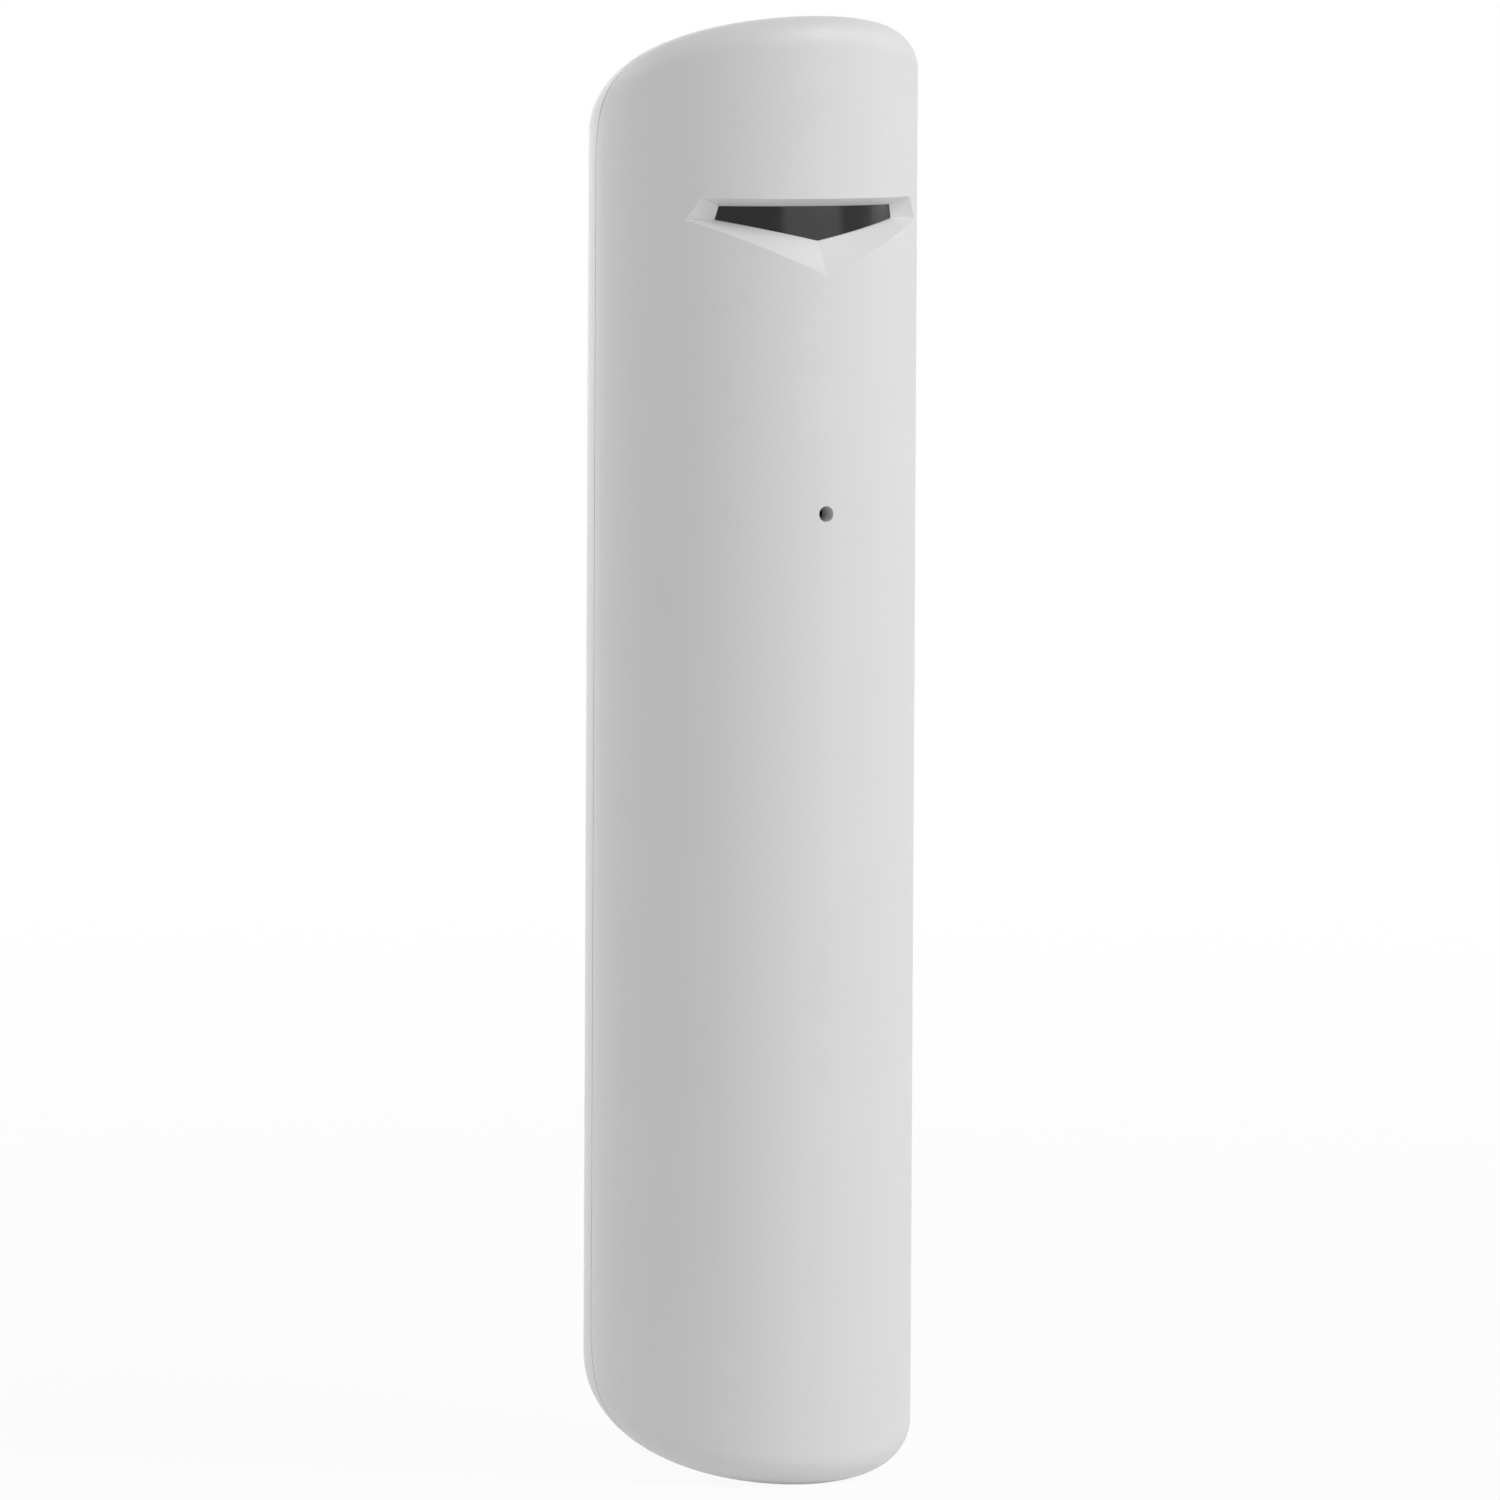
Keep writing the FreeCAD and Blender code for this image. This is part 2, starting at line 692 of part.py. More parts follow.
# Board and what stands on it
def circuit_board():
    """The board: narrowed at both ends, with screw holes and the terminals' holes."""
    board = body("circuit_board")
    drawing = sketch(board, "XZ_Plane", "board_depth")
    half, neck = "board_half_width", "board_neck_half_width"
    end, shoulder = "board_end", "board_shoulder"
    right = [(neck, end), (neck, shoulder), (half, shoulder),
             (half, f"-{shoulder}"), (neck, f"-{shoulder}"), (neck, f"-{end}")]
    polygon(drawing, right + [(f"-{across}", up) for across, up in reversed(right)])
    feature(board, "Pad", drawing, "board_thickness")
    drawing = sketch(board, "XZ_Plane", "board_front")
    for _, side in SIDES:
        disc(drawing, "0", f"{side}board_screw_height", "board_screw_radius + fit_gap")
    for across in POLES:
        disc(drawing, across, "pin_row", "pin_hole_radius")
    feature(board, "Pocket", drawing, "board_thickness")
    return board


POLES = [f"{place} * terminal_pitch" for place in ("-1.5", "-0.5", "0.5", "1.5")]


def board_screws():
    """Two pan-head screws through the board into the rear housing's posts."""
    screws = []
    for name, side in SIDES:
        up = f"{side}board_screw_height"
        shank = rod(f"shank_{name}", "0", f"board_front - board_screw_length", up,
                    "board_screw_radius - seat_gap / 2", "board_screw_length + board_screw_head_height / 2")
        head = rod(f"head_{name}", "0", "board_front", up, "board_screw_head_radius",
                   "board_screw_head_height")
        screws.append(fuse(f"board_screw_{name}", [shank, head]))
    return group("board_screws", screws)


def microphone():
    """The capsule on the board, its rubber boot, and the mesh behind the sound hole."""
    rod("microphone_capsule", "0", "board_front", "sound_hole", "mic_radius", "mic_height")
    front = "mic_seat_depth - mesh_thickness - seat_gap"
    boot = body("microphone_boot")
    drawing = sketch(boot, "XZ_Plane", f"board_front + seat_gap")
    disc(drawing, "0", "sound_hole", "boot_radius")
    feature(boot, "Pad", drawing, f"{front} - board_front - seat_gap")
    drawing = sketch(boot, "XZ_Plane", f"board_front + mic_height + seat_gap")
    disc(drawing, "0", "sound_hole", "mic_radius + seat_gap / 2")
    feature(boot, "Pocket", drawing, "mic_height + seat_gap")
    drawing = sketch(boot, "XZ_Plane", front)
    disc(drawing, "0", "sound_hole", "boot_port_radius")
    feature(boot, "Pocket", drawing, front)
    rod("acoustic_mesh", "0", front, "sound_hole", "boot_radius - fit_gap", "mesh_thickness")


def terminal_block():
    """The four-pole block, and a screw, a clamp and a pin for each pole."""
    housing = body("terminal_block")
    half = "(2 * terminal_pitch + terminal_side)"
    drawing = sketch(housing, "XZ_Plane", "terminal_depth")
    rectangle(drawing, f"-{half}", half, "terminal_foot", "terminal_top")
    feature(housing, "Pad", drawing, "board_depth - terminal_depth")
    drawing = sketch(housing, "XY_Plane", "terminal_top")
    for across in POLES:
        rectangle(drawing, f"{across} - wire_entry_width / 2", f"{across} + wire_entry_width / 2",
                  "-wire_entry_depth - wire_entry_height / 2", "-wire_entry_depth + wire_entry_height / 2")
    feature(housing, "Pocket", drawing, "wire_entry_length")
    screw_height = "(terminal_top - wire_entry_length + clamp_length / 2 + fit_gap)"
    drawing = sketch(housing, "XZ_Plane", "wire_entry_depth")
    for across in POLES:
        disc(drawing, across, screw_height, "terminal_screw_radius + fit_gap / 2")
    feature(housing, "Pocket", drawing, "wire_entry_depth")
    drawing = sketch(housing, "XZ_Plane", "board_depth")
    half = "(pin_width + fit_gap) / 2"
    for across in POLES:
        rectangle(drawing, f"{across} - {half}", f"{across} + {half}",
                  f"pin_row - {half}", f"pin_row + {half}")
    feature(housing, "Pocket", drawing, "board_depth - wire_entry_depth")
    screws, clamps, pins = [], [], []
    root = "wire_entry_depth + wire_entry_height / 2"
    for pole, across in enumerate(POLES, start=1):
        screws.append(terminal_screw(pole, across, screw_height))
        clamps.append(terminal_clamp(pole, across))
        pins.append(block(f"terminal_pin_{pole}", f"{across} - pin_width / 2", root,
                          "pin_row - pin_width / 2", "pin_width",
                          f"board_front + pin_tip_length - ({root})", "pin_width"))
    group("terminal_screws", screws)
    group("terminal_clamps", clamps)
    group("terminal_pins", pins)


def terminal_screw(pole, across, up):
    """One slotted screw, sunk below the block's face."""
    back = "(terminal_depth + terminal_screw_sink)"
    length = f"wire_entry_depth - wire_entry_height / 2 - {back} - seat_gap"
    stock = rod(f"screw_stock_{pole}", across, back, up, "terminal_screw_radius", length)
    slot = block(f"screw_slot_{pole}", f"{across} - terminal_screw_slot / 2", back,
                 f"{up} - 2 * terminal_screw_radius", "terminal_screw_slot", "terminal_screw_slot",
                 "4 * terminal_screw_radius")
    return cut(f"terminal_screw_{pole}", stock, slot)


def terminal_clamp(pole, across):
    """One square cage that the screw closes on the wire."""
    width = "(wire_entry_width - 2 * seat_gap)"
    depth = "(wire_entry_height - 2 * seat_gap)"
    low = "terminal_top - wire_entry_length + seat_gap"
    back = f"(wire_entry_depth - {depth} / 2)"
    outside = block(f"cage_{pole}", f"{across} - {width} / 2", back, low, width, depth, "clamp_length")
    inside = block(f"cage_hole_{pole}", f"{across} - {width} / 2 + clamp_wall", f"{back} + clamp_wall", low,
                   f"{width} - 2 * clamp_wall", f"{depth} - 2 * clamp_wall", "clamp_length")
    return cut(f"terminal_clamp_{pole}", outside, inside)


# Tamper
def tamper():
    """The switch on the board, the plunger through the floor, and its spring."""
    switch_back = "(board_depth - switch_height)"
    case = block("switch_case", "-switch_width / 2", switch_back, "tamper_height - switch_length / 2",
                 "switch_width", "switch_height", "switch_length")
    stem = rod("switch_stem", "0", f"{switch_back} - switch_stem_length", "tamper_height",
               "switch_stem_radius", "switch_stem_length + switch_height / 2")
    fuse("tamper_switch", [case, stem])
    tip = "(ramp_top_depth + plunger_tip_gap)"
    flange_back = f"(rear_inside + sleeve_length + ramp_rise + plunger_clearance)"
    pin = rod("plunger_pin", "0", tip, "tamper_height", "plunger_radius",
              f"{switch_back} - switch_stem_length - seat_gap - {tip}")
    flange = rod("plunger_flange", "0", flange_back, "tamper_height", "plunger_flange_radius",
                 "plunger_flange_thickness")
    fuse("tamper_plunger", [pin, flange])
    clearance = "(2 * seat_gap + spring_wire / 2)"
    back = number(f"{flange_back} + plunger_flange_thickness + {clearance}")
    front = number(f"{switch_back} - {clearance}")
    shaped("tamper_spring", spring(front - back, -back, size("tamper_height")))


def spring(length, back, height):
    """A coil of thin wire along the plunger, from its back end forward, in short straight steps."""
    steps = round(size("spring_turns") * COIL_STEPS)
    radius = size("spring_radius")
    path = []
    for step in range(steps + 1):
        turn = 2 * math.pi * step / COIL_STEPS
        path.append(V(radius * math.cos(turn), radius * math.sin(turn), length * step / steps))
    along = path[1] - path[0]
    out = along.cross(V(0, 0, 1)).normalize() * size("spring_wire") / 2
    side = FreeCAD.Rotation(along, 360 / WIRE_SIDES)
    corners = [out]
    for _ in range(WIRE_SIDES - 1):
        corners.append(side.multVec(corners[-1]))
    wire = Part.makePolygon([path[0] + corner for corner in corners + corners[:1]])
    coil = Part.makePolygon(path).makePipeShell([wire], True, False, RIGHT_CORNERS)
    coil.Placement = FreeCAD.Placement(V(0, back, height), FreeCAD.Rotation(V(1, 0, 0), 90))
    return coil


COIL_STEPS = 12
WIRE_SIDES = 6
RIGHT_CORNERS = 1


# Chips and small parts on the front of the board, in chip units: across, up from the sound hole,
# width, height and thickness
CHIPS = {
    "microcontroller": (0, -20.8, 10, 10, 1.8),
    "amplifier_chip": (0, -11.8, 6, 6, 1.6),
    "crystal": (-8.4, -15.8, 4, 6.4, 1.4),
    "bus_transceiver": (0, -32.6, 9.8, 7.8, 3),
}
SMALL_PARTS = {
    "chip_resistors": [(-6.8, -7.4), (-2.4, -7.4), (2.4, -7.4), (6.8, -7.4), (8.8, -19), (8.8, -22.6),
                       (-8.8, -27.2), (-4, -27.2), (-8.8, -38)],
    "chip_capacitors": [(8.4, -11.6), (8.4, -15.2), (-8.8, -22.4), (4.4, -27.2), (8.8, -27.2), (8.8, -38),
                        (4.4, 10), (-4.4, 10)],
}
SMALL_SIZES = {"chip_resistors": (2, 1, 0.7), "chip_capacitors": (2, 1.1, 1)}
SURGE_DIODE = (5.2, 8.6, 4)


def chip(label, across, up, width, height, thickness):
    """One small part on the front of the board; up is an expression and the rest are chip units."""
    left, foot = f"{across - width / 2} * chip_unit", f"{up} - {height / 2} * chip_unit"
    return block(label, left, "board_front", foot, f"{width} * chip_unit", f"{thickness} * chip_unit",
                 f"{height} * chip_unit")


def moulded_chip(label, across, up, width, height, thickness):
    """One chip whose sides lean in, as its mould's draft leaves them; sizes are given as for chip."""
    made = body(label)
    drawing = sketch(made, "XZ_Plane", "board_front")
    rectangle(drawing, f"{across - width / 2} * chip_unit", f"{across + width / 2} * chip_unit",
              f"{up} - {height / 2} * chip_unit", f"{up} + {height / 2} * chip_unit")
    pad = feature(made, "Pad", drawing, f"{thickness} * chip_unit")
    bind(pad, "TaperAngle", "-chip_draft")
    return made


def chips():
    """Moulded chips, groups of small resistors and capacitors, and the surge diode."""
    for label, (across, up, *sizes) in CHIPS.items():
        moulded_chip(label, across, f"sound_hole + {up} * chip_unit", *sizes)
    for label, places in SMALL_PARTS.items():
        sizes = SMALL_SIZES[label]
        group(label, [chip(f"{label}_{index}", across, f"sound_hole + {up} * chip_unit", *sizes)
                      for index, (across, up) in enumerate(places, start=1)])
    moulded_chip("surge_diode", 0, "-board_screw_height + 1.4 * power_part_pitch", *SURGE_DIODE)


def power_parts():
    """A drum inductor and two electrolytic capacitors on the back of the board."""
    up = "(board_screw_height - 1.1 * power_part_pitch)"
    block("power_inductor", "-inductor_width / 2", "board_depth - inductor_height",
          f"{up} - inductor_width / 2", "inductor_width", "inductor_height", "inductor_width")
    cans = []
    for place in (1, 2):
        cans.append(rod(f"capacitor_{place}", "0", "board_depth - capacitor_height",
                        f"{up} - {place} * power_part_pitch", "capacitor_radius", "capacitor_height"))
    group("filter_capacitors", cans)


outline = outer_form()
front_housing(outline, front_zone("front_zone", "0"))
rear_housing(outline, front_zone("front_zone_grown", "parting_gap"))
mounting_panel(outline)
indicator_window()
light_parts()
circuit_board()
board_screws()
microphone()
terminal_block()
tamper()
chips()
power_parts()
doc.recompute()

NODES = [
    "mounting_panel", "front_housing", "rear_housing", "indicator_window", "light_guide", "status_led",
    "circuit_board", "board_screws", "microphone_capsule", "microphone_boot", "acoustic_mesh",
    "terminal_block", "terminal_screws", "terminal_clamps", "terminal_pins", "tamper_switch",
    "tamper_plunger", "tamper_spring", "microcontroller", "amplifier_chip", "crystal", "bus_transceiver",
    "surge_diode", "power_inductor", "filter_capacitors", "chip_resistors", "chip_capacitors",
]

for thing in doc.Objects:
    if {"Invalid", "Error"} & set(thing.State):
        raise ValueError(f"{thing.Name} could not be worked out")
os.makedirs("parts", exist_ok=True)
for name in NODES:
    piece = doc.getObject(name)
    if piece.Shape.isNull() or not piece.Shape.isValid() or not piece.Shape.Solids:
        raise ValueError(f"{name} is not a sound solid")
    piece.Shape.exportStep(f"parts/{name}.step")
    print(name, len(piece.Shape.Solids), round(piece.Shape.Volume, 2))
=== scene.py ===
"""Looks for a slim, half-round glass break sensor on its wall panel."""
import logging
import math
from dataclasses import dataclass, field
from enum import Enum
from typing import Any, Union

import bpy
from mathutils import Matrix, Vector


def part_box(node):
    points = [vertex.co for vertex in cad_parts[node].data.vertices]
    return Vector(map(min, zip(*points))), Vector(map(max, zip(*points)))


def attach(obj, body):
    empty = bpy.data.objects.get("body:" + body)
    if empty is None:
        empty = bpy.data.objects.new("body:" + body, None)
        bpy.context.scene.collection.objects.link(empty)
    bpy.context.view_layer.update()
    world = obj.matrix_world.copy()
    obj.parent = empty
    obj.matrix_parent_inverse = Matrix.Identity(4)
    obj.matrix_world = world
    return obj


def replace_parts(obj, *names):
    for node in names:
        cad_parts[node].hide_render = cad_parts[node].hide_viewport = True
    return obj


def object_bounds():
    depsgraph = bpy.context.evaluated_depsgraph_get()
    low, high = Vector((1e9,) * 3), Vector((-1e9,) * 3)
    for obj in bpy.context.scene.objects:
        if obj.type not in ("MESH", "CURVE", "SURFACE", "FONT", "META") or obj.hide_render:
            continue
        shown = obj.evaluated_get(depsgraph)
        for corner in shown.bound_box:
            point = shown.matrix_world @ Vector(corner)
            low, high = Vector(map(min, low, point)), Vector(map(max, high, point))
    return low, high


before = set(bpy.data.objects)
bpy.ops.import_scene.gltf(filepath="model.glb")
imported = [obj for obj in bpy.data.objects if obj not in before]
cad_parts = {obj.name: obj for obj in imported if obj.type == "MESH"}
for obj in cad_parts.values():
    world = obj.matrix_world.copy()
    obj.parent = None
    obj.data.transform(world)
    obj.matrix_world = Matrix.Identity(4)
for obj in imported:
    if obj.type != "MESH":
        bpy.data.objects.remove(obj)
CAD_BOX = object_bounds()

LOG = logging.getLogger("glass_break_sensor")
MM = 0.001
# Nearly all of a noise texture's values lie between these two
NOISE_LOW, NOISE_HIGH = 0.3, 0.7
Tree = bpy.types.ShaderNodeTree
Node = bpy.types.ShaderNode
Material = bpy.types.Material
Object = bpy.types.Object
Colour = tuple[float, float, float, float]
Rings = list[tuple[float, float]]


def linear(code: str) -> Colour:
    """Turn an sRGB hex value into a linear colour.

    Args:
        code: six hex digits, with or without a leading hash.

    Returns:
        Red, green, blue and an alpha of 1.
    """
    digits = code.lstrip("#")
    parts = [int(digits[at:at + 2], 16) / 255 for at in (0, 2, 4)]
    red, green, blue = (c / 12.92 if c <= 0.04045 else ((c + 0.055) / 1.055) ** 2.4 for c in parts)
    return (red, green, blue, 1.0)


def per_metre(size_mm: float) -> float:
    """Give the scale of a texture whose features have a real size.

    Args:
        size_mm: how far across a feature is, in millimetres.

    Returns:
        The scale for Object coordinates in metres.
    """
    return 1 / (size_mm * MM)


def add_node(tree: Tree, kind: str, settings: dict[str, Any], inputs: dict[Union[str, int], Any]) -> Node:
    """Add one node, with its settings, its values and its links.

    Args:
        tree: the material's or the world's node tree.
        kind: the node's type, such as ShaderNodeBump.
        settings: properties of the node itself.
        inputs: a value for a socket, or the output socket that feeds it.

    Returns:
        The new node.
    """
    node = tree.nodes.new(kind)
    for name, value in settings.items():
        setattr(node, name, value)
    for name, value in inputs.items():
        if isinstance(value, bpy.types.NodeSocket):
            tree.links.new(value, node.inputs[name])
        else:
            node.inputs[name].default_value = value
    return node


def start_material(name: str) -> tuple[Material, Tree, Node]:
    """Make an empty node material.

    Args:
        name: what the real material is called.

    Returns:
        The material, its tree and a node of Object coordinates.
    """
    material = bpy.data.materials.new(name)
    material.use_nodes = True
    tree = material.node_tree
    tree.nodes.clear()
    return material, tree, add_node(tree, "ShaderNodeTexCoord", {}, {})


def close_material(tree: Tree, shader: Node) -> None:
    """Lead a shader to the material's output.

    Args:
        tree: the material's node tree.
        shader: the node whose first output is the surface.
    """
    add_node(tree, "ShaderNodeOutputMaterial", {}, {"Surface": shader.outputs[0]})


# Modelling
FORWARD = Vector((0, -1, 0))
BACKWARD = Vector((0, 1, 0))
OUTWARD = Vector((1, 0, 0))
# Two directions agree when their dot product is above this
SAME_WAY = 0.99
# Edges sharper than this many degrees stay sharp
SHARP = 40


def open_faces(piece: Object, facing: Vector) -> None:
    """Open a piece in edit mode with the faces that look one way selected.

    Args:
        piece: the object.
        facing: the way that the faces look.
    """
    bpy.ops.object.select_all(action="DESELECT")
    piece.select_set(True)
    bpy.context.view_layer.objects.active = piece
    bpy.ops.object.mode_set(mode="EDIT")
    bpy.ops.mesh.select_mode(type="FACE")
    bpy.ops.mesh.select_all(action="DESELECT")
    bpy.ops.object.mode_set(mode="OBJECT")
    for face in piece.data.polygons:
        face.select = face.normal.dot(facing) > SAME_WAY
    bpy.ops.object.mode_set(mode="EDIT")


def extrude(move: Vector) -> None:
    """Extrude what is selected.

    Args:
        move: how far and which way, in millimetres.
    """
    bpy.ops.mesh.extrude_region_move(TRANSFORM_OT_translate={"value": move * MM})


def start_block(name: str, low: Vector, high: Vector) -> Object:
    """Add a cube and stretch it between two corners.

    Args:
        name: what the piece is called.
        low: its lowest corner.
        high: its highest corner.

    Returns:
        The new object.
    """
    bpy.ops.object.select_all(action="DESELECT")
    bpy.ops.mesh.primitive_cube_add(size=1, location=(low + high) / 2)
    piece = bpy.context.object
    piece.name = name
    piece.scale = high - low
    bpy.ops.object.transform_apply(location=True, rotation=True, scale=True)
    return piece


def turned(name: str, centre: Vector, rings: Rings, sides: int = 32) -> Object:
    """Model a round piece: a disc extruded forward ring by ring.

    Args:
        name: what the piece is called.
        centre: the point that the rings are measured from.
        rings: each ring's radius and how far forward it lies, in millimetres.
        sides: how many flats a ring has.

    Returns:
        The new object.
    """
    bpy.ops.object.select_all(action="DESELECT")
    radius, ahead = rings[0]
    bpy.ops.mesh.primitive_circle_add(vertices=sides, radius=radius * MM, fill_type="NGON",
                                      location=centre + FORWARD * ahead * MM, rotation=(math.pi / 2, 0, 0))
    piece = bpy.context.object
    piece.name = name
    bpy.ops.object.transform_apply(location=True, rotation=True, scale=True)
    bpy.ops.object.mode_set(mode="EDIT")
    bpy.ops.mesh.select_all(action="SELECT")
    for (old, before), (new, after) in zip(rings, rings[1:]):
        extrude(FORWARD * (after - before))
        bpy.ops.transform.resize(value=(new / old, 1, new / old), center_override=centre + FORWARD * after * MM)
    bpy.ops.object.mode_set(mode="OBJECT")
    return piece


def apply_modifier(piece: Object, kind: str, **settings: Any) -> None:
    """Put one modifier on a piece and apply it.

    Args:
        piece: the object.
        kind: the modifier's type, such as BEVEL.
        settings: its properties.
    """
    bpy.ops.object.select_all(action="DESELECT")
    piece.select_set(True)
    bpy.context.view_layer.objects.active = piece
    modifier = piece.modifiers.new(kind.lower(), kind)
    for name, value in settings.items():
        setattr(modifier, name, value)
    bpy.ops.object.modifier_apply(modifier=modifier.name)


def smooth(piece: Object, round_mm: float = 0.0, steps: int = 2) -> Object:
    """Turn the faces outwards, round the edges and shade the piece.

    Args:
        piece: the object.
        round_mm: how wide the rounding is, or 0 for none.
        steps: how many facets round an edge.

    Returns:
        The same object.
    """
    open_faces(piece, FORWARD)
    bpy.ops.mesh.select_all(action="SELECT")
    bpy.ops.mesh.normals_make_consistent(inside=False)
    bpy.ops.object.mode_set(mode="OBJECT")
    if round_mm:
        apply_modifier(piece, "BEVEL", width=round_mm * MM, segments=steps, limit_method="ANGLE")
    bpy.ops.object.shade_smooth_by_angle(angle=math.radians(SHARP))
    return piece


def cut_out(piece: Object, cutter: Object) -> None:
    """Take a cutter's shape out of a piece and delete the cutter.

    Args:
        piece: the object that loses the shape.
        cutter: the object that has it.
    """
    smooth(cutter)
    apply_modifier(piece, "BOOLEAN", operation="DIFFERENCE", solver="EXACT", object=cutter)
    bpy.data.objects.remove(cutter)


def cut_cross(piece: Object, centre: Vector, length: float, width: float, depth: float) -> None:
    """Sink a cross into a flat or domed end.

    Args:
        piece: the object.
        centre: the middle of the cross, on the end's face.
        length: how long each bar is, in millimetres.
        width: how wide each bar is.
        depth: how far it reaches to both sides of the face.
    """
    for across, up in ((length, width), (width, length)):
        reach = Vector((across, 2 * depth, up)) * MM / 2
        cut_out(piece, start_block("cross_bar", centre - reach, centre + reach))


def copied(piece: Object, move: Vector) -> Object:
    """Copy a piece, mesh and all, to another place.

    Args:
        piece: the object.
        move: from its place to the copy's, in metres.

    Returns:
        The copy.
    """
    bpy.ops.object.select_all(action="DESELECT")
    piece.select_set(True)
    bpy.context.view_layer.objects.active = piece
    bpy.ops.object.duplicate()
    copy = bpy.context.object
    copy.location = move
    bpy.ops.object.transform_apply(location=True, rotation=True, scale=True)
    return copy


def joined(name: str, pieces: list[Object]) -> Object:
    """Join several objects into one.

    Args:
        name: what the whole is called.
        pieces: the objects.

    Returns:
        The joined object.
    """
    bpy.ops.object.select_all(action="DESELECT")
    for piece in pieces:
        piece.select_set(True)
    bpy.context.view_layer.objects.active = pieces[0]
    bpy.ops.object.join()
    pieces[0].name = name
    return pieces[0]


def back_disc(low: Vector, high: Vector) -> tuple[Vector, float, float]:
    """Measure a round solid that stands on the plane behind it.

    Args:
        low: its lowest corner.
        high: its highest corner.

    Returns:
        The middle of its back in metres, and its radius and height in millimetres.
    """
    back = Vector(((low.x + high.x) / 2, high.y, (low.z + high.z) / 2))
    return back, (high.x - low.x) / MM / 2, (high.y - low.y) / MM


def solids(node: str) -> list[tuple[Vector, Vector]]:
    """Find the corners of each separate solid in a node.

    Args:
        node: the node's name.

    Returns:
        The lowest and the highest corner of each solid.
    """
    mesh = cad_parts[node].data
    group = {}
    for face in mesh.polygons:
        spots = {tuple(round(c, 7) for c in mesh.vertices[index].co) for index in face.vertices}
        for known in {id(group[spot]): group[spot] for spot in spots if spot in group}.values():
            spots |= known
        group.update(dict.fromkeys(spots, spots))
    boxes = []
    for spots in {id(spots): spots for spots in group.values()}.values():
        sides = list(zip(*spots))
        boxes.append((Vector([min(side) for side in sides]), Vector([max(side) for side in sides])))
    return boxes


# Finishes
@dataclass(frozen=True)
class MouldedPlastic:
    """Injection-moulded plastic: one colour with a faint mottle, and the mould's fine eroded grain."""

    name: str
    colour: str
    shade: str
    grain_mm: float = 0.3
    lift_mm: float = 0.004
    mottle_mm: float = 9.0
    smooth: float = 0.42
    rough: float = 0.52
    specular: float = 0.5

    def build(self) -> Material:
        """Build the material.

        Returns:
            A node material whose colour, roughness and bump vary over the surface.
        """
        material, tree, place = start_material(self.name)
        mottle = add_node(tree, "ShaderNodeTexNoise", {},
                          {"Vector": place.outputs["Object"], "Scale": per_metre(self.mottle_mm), "Detail": 3.0})
        grain = add_node(tree, "ShaderNodeTexNoise", {},
                         {"Vector": place.outputs["Object"], "Scale": per_metre(self.grain_mm), "Detail": 2.0,
                          "Roughness": 0.6})
        tint = add_node(tree, "ShaderNodeMix", {"data_type": "RGBA"},
                        {0: mottle.outputs["Fac"], 6: linear(self.colour), 7: linear(self.shade)})
        gloss = add_node(tree, "ShaderNodeMapRange", {},
                         {"Value": grain.outputs["Fac"], "From Min": NOISE_LOW, "From Max": NOISE_HIGH,
                          "To Min": self.smooth, "To Max": self.rough})
        bump = add_node(tree, "ShaderNodeBump", {},
                        {"Height": grain.outputs["Fac"], "Strength": 1.0, "Distance": self.lift_mm * MM})
        shader = add_node(tree, "ShaderNodeBsdfPrincipled", {},
                          {"Base Color": tint.outputs[2], "Roughness": gloss.outputs[0],
                           "Normal": bump.outputs["Normal"], "IOR": 1.53, "Specular IOR Level": self.specular})
        close_material(tree, shader)
        return material


@dataclass(frozen=True)
class ClearPlastic:
    """Polished clear or smoked plastic: light passes through it, and faint flow marks from the mould show."""

    name: str
    colour: str
    transmission: float
    ior: float
    flow_mm: float = 2.5
    lift_mm: float = 0.002
    smooth: float = 0.04
    rough: float = 0.1

    def build(self) -> Material:
        """Build the material.

        Returns:
            A glossy node material, clear or nearly black.
        """
        material, tree, place = start_material(self.name)
        flow = add_node(tree, "ShaderNodeTexNoise", {},
                        {"Vector": place.outputs["Object"], "Scale": per_metre(self.flow_mm), "Detail": 2.0,
                         "Distortion": 0.6})
        gloss = add_node(tree, "ShaderNodeMapRange", {},
                         {"Value": flow.outputs["Fac"], "From Min": NOISE_LOW, "From Max": NOISE_HIGH,
                          "To Min": self.smooth, "To Max": self.rough})
        bump = add_node(tree, "ShaderNodeBump", {},
                        {"Height": flow.outputs["Fac"], "Strength": 0.5, "Distance": self.lift_mm * MM})
        shader = add_node(tree, "ShaderNodeBsdfPrincipled", {},
                          {"Base Color": linear(self.colour), "Roughness": gloss.outputs[0],
                           "Normal": bump.outputs["Normal"], "IOR": self.ior,
                           "Transmission Weight": self.transmission})
        close_material(tree, shader)
        return material


